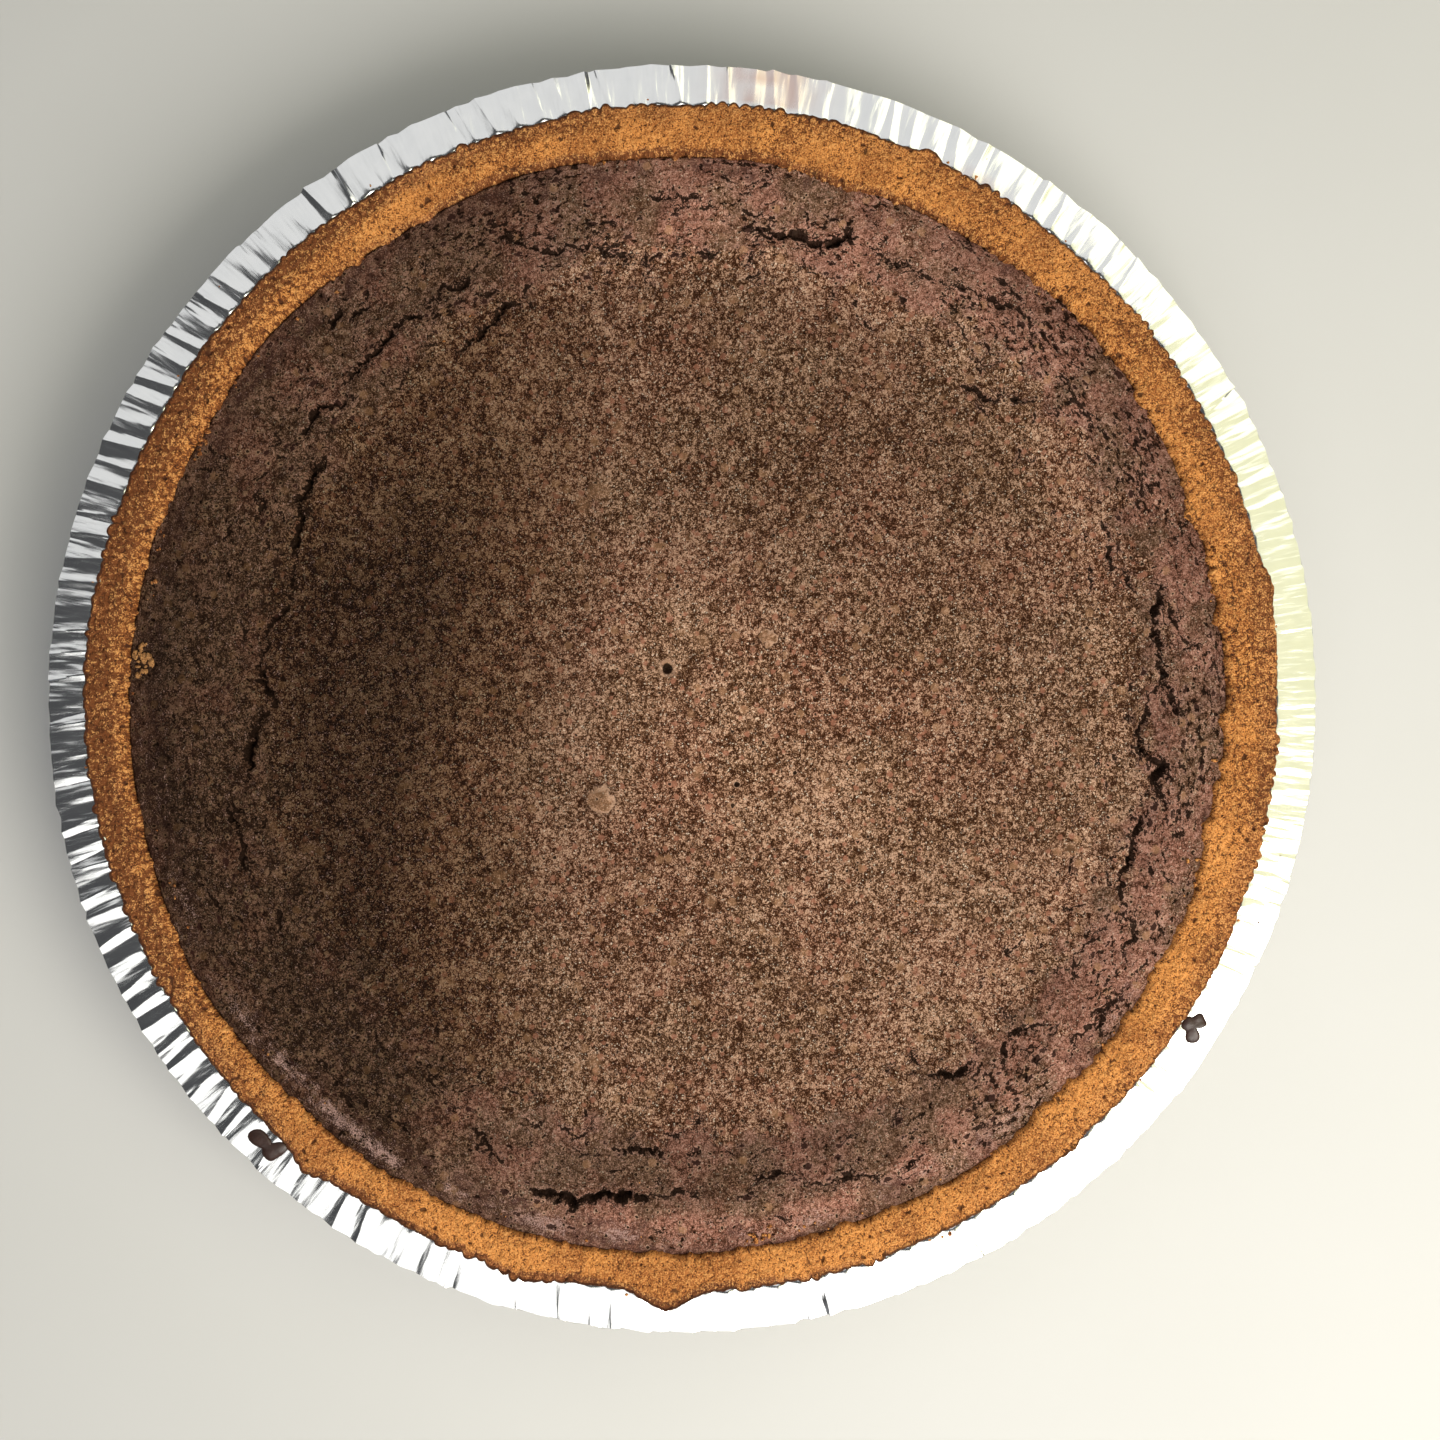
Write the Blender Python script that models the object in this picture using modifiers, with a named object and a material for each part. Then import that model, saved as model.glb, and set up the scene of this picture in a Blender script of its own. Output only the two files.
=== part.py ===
"""Chocolate truffle tart in its own fluted foil tin.

Units are metres and +Z is up. The origin is the centre of the tin's flat underside.
Three solids fit one inside the other: the foil tin, with two splashes of chocolate that
have set on its flange, the pressed crumb crust, and the baked chocolate filling, whose
puffed and cracked ring surrounds a sunken middle.
"""

import math

import bmesh
import bpy
from mathutils import Vector, noise

MM = 0.001
OBJECT_NAME = "chocolate_truffle_tart"

# Foil tin: outside sizes. The foil is thicker than real foil so that it is a sound solid.
TIN_DIAMETER = 228.6 * MM
TIN_HEIGHT = 30.0 * MM
BASE_RADIUS = 87.5 * MM
WALL_TOP_RADIUS = 107.8 * MM
FOIL = 0.3 * MM
FLANGE_DROOP = 0.35 * MM
LIP_HEIGHT = 0.9 * MM
LIP_SETBACK = 0.45 * MM

# The flutes of the wall run on as pleats across the flange, slightly slanted.
FLUTES = 160
FLUTE_DEPTH = 0.8 * MM
PLEAT_HEIGHT = 0.35 * MM
PLEAT_SLANT = math.radians(0.5)

GAP = 0.3 * MM
LEVEL_GAP = 0.45 * MM

# Crumb crust, pressed against the wall of the tin.
CRUST_FLOOR = 5.0 * MM
CRUST_INSET = 0.9 * MM
CRUST_EDGE_HEIGHT = 28.6 * MM
CRUST_SHOULDER = (105.2 * MM, 29.9 * MM)
CRUST_CREST = (102.2 * MM, 30.4 * MM)
CRUST_LUMP = 0.7 * MM

# Filling: its edge is a little off centre, towards the lower left, and wanders in and out.
EDGE_RADIUS = 99.3 * MM
EDGE_OFFSET = 1.5 * MM
EDGE_OFFSET_ANGLE = math.radians(238)
EDGE_WANDER = 0.9 * MM
EDGE_HEIGHT = 27.6 * MM
FILLING_FLOOR_RADIUS = 84.0 * MM
PLATEAU_HEIGHT = 26.9 * MM
RING_HEIGHT = 29.2 * MM
RING_CREST = 91.5 * MM
RING_FOOT = 80.5 * MM
RING_FOOT_SHIFT = 5.0 * MM
RING_FOOT_ANGLE = math.radians(10)
RING_LUMP = 0.55 * MM
FILLING_COLUMNS = 128
FILLING_RINGS = [97.0, 94.2, 91.0, 87.5, 84.0, 80.0, 75.0, 62.0, 36.0]

# Cracks of the puffed ring: greatest width in mm, then a route of (degrees, radius in mm).
CRACK_DEPTH = 2.0 * MM
CUTTER_RISE = 1.6 * MM
CRACKS = [
    (1.5, [(357, 90.0), (1, 88.3), (5, 86.8), (9, 87.0), (12.5, 89.2), (14, 87.2)]),
    (1.1, [(12.5, 85.2), (16, 83.0), (18.5, 81.8), (22, 83.6)]),
    (1.2, [(34, 89.2), (38, 90.0), (41, 90.6)]),
    (1.1, [(40, 83.6), (43, 79.8), (48, 76.4)]),
    (1.3, [(45.5, 90.2), (48.5, 93.2), (54, 90.2), (61, 88.3), (67, 88.2)]),
    (1.8, [(69, 89.2), (72, 86.2), (76, 86.2), (82, 84.8)]),
    (1.3, [(94, 79.3), (99, 81.4), (105, 83.9), (109, 86.9), (113, 90.2)]),
    (1.2, [(110, 80.0), (112, 77.8), (118, 76.4), (123.5, 75.0)]),
    (1.4, [(124, 83.5), (127, 84.8), (134, 83.1), (138, 82.2), (142, 82.2), (145.5, 84.8)]),
    (1.8, [(146, 78.2), (152, 78.4), (155, 76.2), (161, 74.4), (165, 73.2), (169, 75.8)]),
    (1.7, [(173, 75.5), (179, 76.0), (185, 78.0), (191, 80.6)]),
    (1.3, [(193, 84.8), (198, 84.0), (203, 84.3)]),
    (1.1, [(224, 92.4), (228, 93.8), (229, 92.6)]),
    (1.1, [(233, 80.4), (237, 82.0), (240, 83.8), (243, 84.0)]),
    (2.2, [(253, 93.0), (258, 93.6), (260, 91.7), (264, 90.4), (272, 88.2)]),
    (1.4, [(261, 81.4), (264, 82.2), (268, 81.7)]),
    (1.3, [(278, 87.0), (281, 88.1), (284, 88.4)]),
    (1.2, [(286, 90.9), (291, 92.6), (297, 93.9)]),
    (1.3, [(303, 81.5), (306, 83.6), (310, 84.6), (314, 85.4), (317.5, 88.0)]),
    (1.3, [(320, 94.4), (324, 95.2), (328, 97.0), (330.5, 92.6)]),
    (1.8, [(334, 89.4), (338, 86.0), (342, 86.2), (346, 85.8)]),
    (1.5, [(347, 90.2), (351, 88.2), (352.5, 84.6), (356.5, 83.8)]),
]

# Splashes on the flange: angle in degrees, radius, then half length, half width and height.
SPLASH_LOBES = [
    (-33.4, 110.1 * MM, (1.7 * MM, 1.5 * MM, 0.9 * MM)),
    (-31.9, 109.9 * MM, (1.5 * MM, 1.4 * MM, 0.8 * MM)),
    (226.2, 110.2 * MM, (1.5 * MM, 1.3 * MM, 0.7 * MM)),
    (227.8, 110.5 * MM, (1.6 * MM, 1.5 * MM, 0.7 * MM)),
]
SPLASH_SIDES = 10
SPLASH_RINGS = 6


def clear_scene():
    for existing in list(bpy.data.objects):
        bpy.data.objects.remove(existing)


def new_collection(name):
    collection = bpy.data.collections.new(name)
    bpy.context.scene.collection.children.link(collection)
    return collection


def new_material(name, colour, roughness, metallic=0.0):
    material = bpy.data.materials.new(name)
    material.use_nodes = True
    shader = material.node_tree.nodes["Principled BSDF"]
    shader.inputs["Base Color"].default_value = (*colour, 1.0)
    shader.inputs["Roughness"].default_value = roughness
    shader.inputs["Metallic"].default_value = metallic
    material.diffuse_color = (*colour, 1.0)
    return material


def new_object(name, bm, material, collection):
    """Turns a bmesh into a shaded object in its collection."""
    mesh = bpy.data.meshes.new(name)
    bm.to_mesh(mesh)
    bm.free()
    mesh.shade_smooth()
    mesh.set_sharp_from_angle(angle=math.radians(35))
    if material:
        mesh.materials.append(material)
    obj = bpy.data.objects.new(name, mesh)
    collection.objects.link(obj)
    return obj


def spun_bmesh(profile, columns):
    """Turns a profile of (radius, height) points about the Z axis."""
    bm = bmesh.new()
    points = [bm.verts.new((radius, 0, height)) for radius, height in profile]
    edges = [bm.edges.new(pair) for pair in zip(points, points[1:])]
    bmesh.ops.spin(
        bm,
        geom=points + edges,
        cent=(0, 0, 0),
        axis=(0, 0, 1),
        angle=math.tau,
        steps=columns,
        use_merge=True,
    )
    bmesh.ops.remove_doubles(bm, verts=bm.verts, dist=0.01 * MM)
    bmesh.ops.recalc_face_normals(bm, faces=bm.faces)
    return bm


def polar(point):
    return math.hypot(point.x, point.y), math.atan2(point.y, point.x)


def move_to(vertex, radius, angle, height):
    vertex.co = (radius * math.cos(angle), radius * math.sin(angle), height)


def smooth_step(start, end, value):
    share = min(max((value - start) / (end - start), 0.0), 1.0)
    return share * share * (3 - 2 * share)


def lumps(x, y, size, seed):
    """Smooth noise from -1 to 1 whose bumps are about size across."""
    return noise.noise(Vector((x / size, y / size, seed)))


def around(angle, count, seed):
    """Smooth noise from -1 to 1 with about count bumps round the tart."""
    turn = count / math.tau
    return noise.noise(Vector((turn * math.cos(angle), turn * math.sin(angle), seed)))


def flute(angle):
    """+1 on the outward folds of the foil and -1 on the inward ones."""
    column = round(angle / math.tau * 2 * FLUTES)
    return 1 if column % 2 == 0 else -1


def wall_radius(height):
    """Outside radius of the tin's wall, midway between its folds."""
    return BASE_RADIUS + (WALL_TOP_RADIUS - BASE_RADIUS) * height / TIN_HEIGHT


def filling_edge(angle):
    """Radius of the filling's upper edge."""
    offset = EDGE_OFFSET * math.cos(angle - EDGE_OFFSET_ANGLE)
    return EDGE_RADIUS + offset + EDGE_WANDER * around(angle, 26, 3.7)


def filling_height(x, y):
    """Height of the filling's surface: sunken middle, puffed ring, then down to the edge."""
    radius = math.hypot(x, y)
    angle = math.atan2(y, x)
    foot = RING_FOOT + RING_FOOT_SHIFT * math.cos(angle - RING_FOOT_ANGLE)
    edge = filling_edge(angle)
    rise = smooth_step(foot - 6 * MM, foot + 5 * MM, radius)
    fall = smooth_step(RING_CREST, edge, radius)
    ring = PLATEAU_HEIGHT + (RING_HEIGHT - PLATEAU_HEIGHT) * rise
    ring += RING_LUMP * lumps(x, y, 9 * MM, 1.3) * rise
    middle = 0.25 * MM * lumps(x, y, 22 * MM, 5.1) * (1 - rise)
    return (ring + middle) * (1 - fall) + EDGE_HEIGHT * fall


def make_tin(material, collection):
    """Foil tin: an open surface, pleated, then thickened towards the inside."""
    lip_radius = TIN_DIAMETER / 2 - FOIL
    bend_radius = lip_radius - LIP_SETBACK
    flange_edge = TIN_HEIGHT - FOIL - FLANGE_DROOP
    profile = [
        (0.0, 0.0),
        (BASE_RADIUS, 0.0),
        (WALL_TOP_RADIUS, TIN_HEIGHT - FOIL),
        (bend_radius, flange_edge),
        (lip_radius, flange_edge - LIP_HEIGHT),
    ]
    bm = spun_bmesh(profile, 2 * FLUTES)
    for vertex in bm.verts:
        radius, angle = polar(vertex.co)
        height = vertex.co.z
        if radius > WALL_TOP_RADIUS + MM:
            pleat = PLEAT_HEIGHT * flute(angle) / 2
            if radius < bend_radius + LIP_SETBACK / 2:
                move_to(vertex, radius, angle + PLEAT_SLANT, height + pleat)
            else:
                move_to(vertex, radius, angle + PLEAT_SLANT, height + pleat / 2)
        elif radius > BASE_RADIUS + MM:
            move_to(vertex, radius + FLUTE_DEPTH * flute(angle) / 2, angle, height)
    if sum(face.normal.z for face in bm.faces if face.calc_center_median().z < MM) > 0:
        bmesh.ops.reverse_faces(bm, faces=bm.faces)
    tin = new_object("foil_tin", bm, material, collection)
    foil = tin.modifiers.new("foil", "SOLIDIFY")
    foil.thickness = FOIL
    foil.offset = -1
    return tin


def make_crust(material, collection):
    """Crumb crust: a fluted cup with a lumpy rim."""
    crust_base = FOIL + GAP
    floor_top = crust_base + CRUST_FLOOR
    inner_floor = FILLING_FLOOR_RADIUS + LEVEL_GAP
    edge = wall_radius(CRUST_EDGE_HEIGHT) - CRUST_INSET
    profile = [
        (0.0, crust_base),
        (wall_radius(crust_base) - CRUST_INSET, crust_base),
        (edge, CRUST_EDGE_HEIGHT),
        CRUST_SHOULDER,
        CRUST_CREST,
        (EDGE_RADIUS + LEVEL_GAP, EDGE_HEIGHT),
        (inner_floor, floor_top),
        (0.0, floor_top),
    ]
    bm = spun_bmesh(profile, 2 * FLUTES)
    for vertex in bm.verts:
        radius, angle = polar(vertex.co)
        height = vertex.co.z
        lump = CRUST_LUMP * lumps(vertex.co.x, vertex.co.y, 5 * MM, 8.2)
        if height > EDGE_HEIGHT + MM / 2 and radius > CRUST_SHOULDER[0] + 0.5 * MM:
            fold = FLUTE_DEPTH * flute(angle) / 2
            move_to(vertex, radius + fold, angle, height + lump)
        elif height > EDGE_HEIGHT + MM / 2:
            move_to(vertex, radius + lump / 2, angle, height + lump)
        elif height > EDGE_HEIGHT - MM:
            move_to(vertex, filling_edge(angle) + LEVEL_GAP, angle, height)
        elif radius > inner_floor - 0.1 * MM and height > floor_top - 0.1 * MM:
            scale = filling_edge(angle) / EDGE_RADIUS
            move_to(vertex, FILLING_FLOOR_RADIUS * scale + LEVEL_GAP, angle, height)
    return new_object("crumb_crust", bm, material, collection)


def make_filling(material, collection):
    """Baked filling: a solid disc whose top follows filling_height."""
    base = FOIL + GAP + CRUST_FLOOR + GAP
    rings = [(radius * MM, RING_HEIGHT) for radius in FILLING_RINGS]
    profile = [
        (0.0, base),
        (FILLING_FLOOR_RADIUS, base),
        (EDGE_RADIUS, EDGE_HEIGHT),
        *rings,
        (0.0, PLATEAU_HEIGHT),
    ]
    bm = spun_bmesh(profile, FILLING_COLUMNS)
    for vertex in bm.verts:
        radius, angle = polar(vertex.co)
        height = vertex.co.z
        move_to(vertex, radius * filling_edge(angle) / EDGE_RADIUS, angle, height)
        if height > base + MM:
            vertex.co.z = filling_height(vertex.co.x, vertex.co.y)
    return new_object("chocolate_filling", bm, material, collection)


def crack_section(point, across, width, depth):
    """Three corners of a wedge that is as wide as width where it meets the surface."""
    surface = filling_height(point.x, point.y)
    half = across * width / 2 * (depth + CUTTER_RISE) / depth
    top = surface + CUTTER_RISE
    low = surface - depth
    left = point + half
    right = point - half
    return [(left.x, left.y, top), (right.x, right.y, top), (point.x, point.y, low)]


def make_crack_cutter(index, width, route, collection):
    """A wedge lofted along a route, widest and deepest midway and running out at its ends."""
    points = []
    for degrees, radius in route:
        angle = math.radians(degrees)
        points.append(Vector((math.cos(angle), math.sin(angle))) * radius * MM)
    bm = bmesh.new()
    sections = []
    last = len(points) - 1
    for place, point in enumerate(points):
        ahead = points[min(place + 1, last)] - points[max(place - 1, 0)]
        across = Vector((-ahead.y, ahead.x)).normalized()
        share = 0.25 + 0.75 * math.sin(math.pi * place / last)
        corners = crack_section(point, across, width * MM * share, CRACK_DEPTH * share)
        sections.append([bm.verts.new(corner) for corner in corners])
    for near, far in zip(sections, sections[1:]):
        for side in range(3):
            following = (side + 1) % 3
            bm.faces.new((near[side], near[following], far[following], far[side]))
    bm.faces.new(sections[0])
    bm.faces.new(reversed(sections[-1]))
    bmesh.ops.recalc_face_normals(bm, faces=bm.faces)
    cutter = new_object(f"crack_cutter_{index:02d}", bm, None, collection)
    cutter.hide_render = True
    cutter.display_type = "WIRE"
    return cutter


def cut_cracks(filling, cutters):
    for index, (width, route) in enumerate(CRACKS):
        make_crack_cutter(index, width, route, cutters)
    cracks = filling.modifiers.new("cracks", "BOOLEAN")
    cracks.operation = "DIFFERENCE"
    cracks.operand_type = "COLLECTION"
    cracks.collection = cutters
    cracks.solver = "EXACT"


def make_splash_lobe(index, lobe, collection):
    """One flattened drop of chocolate, half sunk in the flange."""
    degrees, radius, half_sizes = lobe
    angle = math.radians(degrees)
    bm = bmesh.new()
    bmesh.ops.create_uvsphere(bm, u_segments=SPLASH_SIDES, v_segments=SPLASH_RINGS, radius=1)
    bmesh.ops.scale(bm, vec=half_sizes, verts=bm.verts)
    drop = new_object(f"splash_lobe_{index}", bm, None, collection)
    height = TIN_HEIGHT - FLANGE_DROOP / 2
    drop.location = (radius * math.cos(angle), radius * math.sin(angle), height)
    drop.rotation_euler.z = angle
    return drop


def fuse_splashes(tin, splashes):
    """Joins the drops to the flange, then removes their objects."""
    for index, lobe in enumerate(SPLASH_LOBES):
        make_splash_lobe(index, lobe, splashes)
    fused = tin.modifiers.new("splashes", "BOOLEAN")
    fused.operation = "UNION"
    fused.operand_type = "COLLECTION"
    fused.collection = splashes
    fused.solver = "EXACT"
    bpy.context.view_layer.update()
    graph = bpy.context.evaluated_depsgraph_get()
    mesh = bpy.data.meshes.new_from_object(tin.evaluated_get(graph))
    tin.modifiers.clear()
    tin.data = mesh
    for drop in list(splashes.objects):
        bpy.data.objects.remove(drop)
    bpy.data.collections.remove(splashes)


def main():
    clear_scene()
    parts = new_collection(OBJECT_NAME)
    cutters = new_collection("tart_cutters")
    foil = new_material("aluminium_foil", (0.78, 0.77, 0.74), 0.28, 1.0)
    crumbs = new_material("baked_crumbs", (0.42, 0.19, 0.07), 0.85)
    chocolate = new_material("baked_chocolate", (0.12, 0.07, 0.045), 0.6)
    tin = make_tin(foil, parts)
    fuse_splashes(tin, new_collection("splashes"))
    make_crust(crumbs, parts)
    filling = make_filling(chocolate, parts)
    cut_cracks(filling, cutters)


main()
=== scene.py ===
"""Looks of the chocolate truffle tart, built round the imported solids.

Shapes are worked out in millimetres with numpy and become metres when a mesh is made. The foil
tin, the crumb crust and the baked filling are modelled again on the sizes of their solids, with
the pleats, crumbs, cracks and pores that the solids leave out. Angles run from +X towards +Y.
"""

import math

import bmesh
import bpy
import numpy as np
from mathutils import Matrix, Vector, kdtree, noise


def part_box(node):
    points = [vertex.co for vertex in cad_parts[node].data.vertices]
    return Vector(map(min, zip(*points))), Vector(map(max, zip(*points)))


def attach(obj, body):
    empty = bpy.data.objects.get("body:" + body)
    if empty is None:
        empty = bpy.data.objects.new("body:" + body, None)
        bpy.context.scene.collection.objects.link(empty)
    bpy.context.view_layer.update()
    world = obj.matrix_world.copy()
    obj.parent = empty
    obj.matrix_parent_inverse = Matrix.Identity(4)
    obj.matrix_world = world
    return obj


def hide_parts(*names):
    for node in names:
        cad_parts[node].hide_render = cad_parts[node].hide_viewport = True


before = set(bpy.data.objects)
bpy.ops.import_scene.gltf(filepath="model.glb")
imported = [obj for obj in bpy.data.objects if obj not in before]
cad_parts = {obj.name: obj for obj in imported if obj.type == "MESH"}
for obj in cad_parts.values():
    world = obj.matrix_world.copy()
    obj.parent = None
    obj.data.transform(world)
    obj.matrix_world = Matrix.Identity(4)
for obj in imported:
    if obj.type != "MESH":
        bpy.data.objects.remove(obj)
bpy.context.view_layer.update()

MM = 0.001
TAU = math.tau
SEED = 20


def box_mm(node):
    """The lowest and the highest corner of a node of the solids, in millimetres."""
    low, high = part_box(node)
    return np.array(low) / MM, np.array(high) / MM


TIN_LOW, TIN_HIGH = box_mm("foil_tin")
CRUST_BASE = box_mm("crumb_crust")[0][2]
FILLING_BASE = box_mm("chocolate_filling")[0][2]

# Foil tin, in millimetres.
RIM_RADIUS = (TIN_HIGH[0] - TIN_LOW[0]) / 2
RIM_HEIGHT = 30.0
BASE_RADIUS = 87.5
WALL_TOP_RADIUS = 107.8
FOIL = 0.15
FLANGE_START = 107.0
FLANGE_WIDTH = 7.2
FLANGE_HEIGHT = 29.9
FLANGE_FALL = 0.2
FLUTES = 160
FLUTE_DEPTH = 0.75
PLEAT_HEIGHT = 0.13
CREASE_SHARES = np.array([0.0, 0.11, 0.36, 0.64, 0.89])

# Crumb crust.
CRUST_EDGE_RADIUS = 107.2
CRUST_EDGE_HEIGHT = 30.4
CRUST_CREST_RADIUS = 103.2
CRUST_CREST_HEIGHT = 30.5
CRUST_COLUMNS = 2400
CRUST_FLOOR_TOP = FILLING_BASE - 0.3
CRUST_TOP_RINGS = 36
CRUST_WALL_STEP = 6
CRUST_CORE_STEP = 24
CRUST_CORE_RADIUS = 50.0
CRUST_INSET = 0.8
# Bumps round the tin, as height, bearing and width: short spills over the flange, longer stretches
# that reach farther out, and places where the crust juts in over the filling.
SPILLS = [
    *[(0.9, 11, 2.2), (1.0, 65.5, 1.2), (1.3, 231.5, 1.6)],
    *[(1.3, 254.5, 3.0), (3.0, 268.4, 2.6), (0.7, 310.5, 1.6)],
]
REACHES = [(0.5, 5, 12), (0.5, 76, 10), (0.8, 182, 22), (0.6, 238, 18), (0.8, 333, 13)]
JUTS = [
    *[(0.8, 8, 1.2), (1.0, 20.5, 2.0), (1.1, 73, 6), (0.7, 158, 4), (0.6, 278, 3)],
    *[(0.9, 312, 6), (1.2, 330, 15), (1.0, 345, 4.5), (0.8, 358, 1.0)],
]

# Filling.
EDGE_RADIUS = 99.3
EDGE_OFFSET = 1.5
EDGE_OFFSET_ANGLE = math.radians(238)
EDGE_WANDER = 0.9
EDGE_HEIGHT = 27.6
FILLING_RIM_LIFT = 0.9
FILLING_FLOOR_RADIUS = 84.0
PLATEAU_HEIGHT = 26.9
RING_HEIGHT = 29.2
RING_CREST = 91.5
RING_FOOT = 80.5
RING_FOOT_SHIFT = 5.0
RING_FOOT_ANGLE = math.radians(10)
RING_LUMP = 0.55
RING_MIDDLE = 90.0
# Where the filling reaches farther out than its solid: reach, bearing, width.
EDGE_SHIFTS = [(1.2, 45, 20), (0.6, 112, 8), (0.5, 205, 35)]
# Where the filling's colour is painted lighter or darker, as painted light and shade: amount, radius and its
# width, bearing and its width.
SHADE_PATCHES = [
    (-0.12, 35, 13, 170, 60),
    (-0.12, 85, 4, 0, 20),
    (0.14, 85, 6, 70, 40),
    (0.35, 95.5, 2.5, 280, 55),
    (-0.38, 86.5, 6, 270, 24),
    (-0.38, 94, 4, 180, 24),
]

# Cracks of the puffed ring: greatest width, then a route of (degrees, radius).
CRACKS = [
    (1.3, [(357, 90.0), (1, 88.4), (4.5, 86.9), (8, 86.5), (11.5, 88.2), (13, 89.2), (14, 87.1)]),
    (0.9, [(5.5, 92.4), (8, 90.4), (11.5, 89.4)]),
    (0.9, [(12.5, 85.2), (15, 83.6), (18, 81.8), (20, 82.6), (23, 82.8)]),
    (0.8, [(23.5, 90.8), (25, 91.6), (26.8, 94.6)]),
    (0.8, [(33, 89.2), (38, 89.7), (40, 90.5)]),
    (0.9, [(40, 83.6), (41.5, 82.0), (43.2, 80.6)]),
    (0.9, [(43, 78.3), (45, 77.5), (48, 76.2)]),
    (0.6, [(47.2, 80.0), (50, 81.3)]),
    (1.1, [(45.2, 90.2), (47.2, 92.5), (48.6, 93.2), (50.5, 92.5), (53.5, 90.5), (57, 88.7)]),
    (0.7, [(48.6, 93.4), (52.2, 95.4), (53.5, 95.0)]),
    (0.8, [(57, 88.6), (62, 88.2), (68, 88.2)]),
    (1.7, [(69, 89.0), (70.5, 88.8), (72, 86.4), (76.5, 86.2), (79, 85.1), (82, 84.8)]),
    (0.6, [(80.5, 88.7), (83, 88.9)]),
    (0.9, [(85.2, 81.1), (88.5, 80.9)]),
    (0.7, [(79, 78.6), (81.3, 77.0)]),
    (0.7, [(86, 89.2), (91.2, 89.1)]),
    (0.8, [(87, 90.4), (91, 90.6), (93.8, 91.1)]),
    (1.0, [(94, 79.3), (97, 80.8), (100, 81.5), (101.5, 83.4), (106, 84.0), (110, 87.5), (113, 90.2)]),
    (1.1, [(110, 80.0), (111.5, 77.8), (115, 77.5), (118, 76.3), (123.5, 75.0)]),
    (0.9, [(116, 85.9), (120, 86.4), (123, 85.9)]),
    (1.2, [(124, 83.4), (125.5, 84.9), (129.5, 84.2), (134.5, 83.1), (137.5, 83.8)]),
    (1.3, [(137.5, 81.8), (139.5, 81.3), (143.5, 83.6), (145.5, 84.6)]),
    (0.9, [(128.5, 90.5), (131.5, 90.5)]),
    (0.9, [(131, 94.0), (132.5, 93.2), (134, 92.0)]),
    (1.6, [(145.8, 78.0), (148, 79.0), (152.5, 78.2), (154.5, 76.4), (158, 75.6), (160, 74.4)]),
    (1.1, [(160, 74.4), (163, 74.5), (165, 73.1), (167, 73.7), (169, 75.4), (172, 76.4)]),
    (1.6, [(172, 76.0), (178, 76.0), (182.5, 76.4), (185, 78.1), (188, 79.4), (191, 80.6)]),
    (0.7, [(154.5, 82.9), (156, 83.6), (157.8, 83.4)]),
    (0.7, [(158, 86.5), (160, 87.2), (162.5, 87.9)]),
    (0.8, [(170, 81.0), (173.5, 80.1)]),
    (1.1, [(192.5, 84.9), (195.5, 83.9), (200, 84.6), (203, 84.0)]),
    (0.8, [(201.8, 92.8), (205, 92.1)]),
    (0.9, [(207.5, 82.0), (209, 83.6), (211, 83.9)]),
    (0.9, [(224, 92.5), (226, 92.8), (228, 93.8), (229, 92.5)]),
    (0.8, [(228.5, 95.0), (231.5, 94.9)]),
    (0.9, [(234, 92.6), (236, 92.4), (238, 92.6)]),
    (0.8, [(233, 80.3), (236, 81.6), (239, 83.8), (242, 83.8)]),
    (0.9, [(243.5, 86.2), (246.5, 88.4), (249, 90.2)]),
    (2.3, [(252.8, 93.0), (256, 93.0), (258, 93.9), (259.5, 92.1), (263, 90.8), (266.5, 90.0)]),
    (0.7, [(254.8, 81.0), (258, 81.6)]),
    (1.2, [(261.3, 81.3), (262.5, 82.5), (264, 81.6), (266.8, 81.6), (267.5, 83.2)]),
    (0.8, [(266.5, 90.0), (269.5, 88.8), (272.5, 88.2)]),
    (0.8, [(270.3, 82.4), (272.5, 82.4)]),
    (1.0, [(278.3, 87.0), (280, 88.2), (282, 87.6), (284, 88.5)]),
    (0.9, [(284.5, 90.8), (288, 91.3), (290.5, 92.1), (292.5, 93.2)]),
    (0.9, [(295, 93.8), (297.5, 93.9)]),
    (1.1, [(303.2, 81.4), (305, 83.4), (309, 84.0)]),
    (1.2, [(311, 89.2), (313, 85.3), (315, 85.2), (316.5, 86.7), (318, 88.8)]),
    (0.8, [(318.5, 92.5), (320, 94.4), (322, 96.4), (323, 94.2), (325.5, 95.9), (328, 97.0)]),
    (1.0, [(328.8, 93.8), (330, 92.1), (334, 90.8)]),
    (0.9, [(325, 87.9), (329, 86.0), (334, 86.2)]),
    (1.6, [(335, 89.2), (337, 86.6), (340, 86.4), (342, 85.9), (346, 85.8)]),
    (1.3, [(347, 90.2), (348.5, 88.7), (352, 88.2), (352.8, 85.0), (354, 83.4), (360.5, 84.9)]),
    (0.8, [(346, 93.7), (349, 93.6)]),
]
# Round holes in the middle of the filling: place, radius, width of the raised rim round it.
HOLES = [
    ((-2.7, 5.5), 0.95, 0.9),
    ((9.9, -15.6), 0.5, 0.2),
    ((9.2, -19.4), 0.35, 0.15),
    ((-0.9, 20.4), 0.35, 0.35),
    ((-52.0, -14.0), 0.5, 0.2),
    ((20.5, -13.5), 0.35, 0.1),
]
# Risen spots in the middle of the filling: place, radius, height.
SPOTS = [((-15.0, -18.5), 2.7, 0.75), ((15.5, 11.1), 1.6, 0.4), ((18.7, 8.0), 0.8, 0.2)]
SMALL_SPOTS = 60
SPOTTED_RADIUS = 76.0
# How often the steps of a crack are split in two, and how far the new points are pushed aside.
CRACK_SPLITS = 5
CRACK_ROUGHNESS = 0.14
SMALL_CRACKS = 380


def generator(number):
    """Random numbers of their own for each use, so that one use doesn't change another."""
    return np.random.default_rng(SEED + number)


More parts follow.
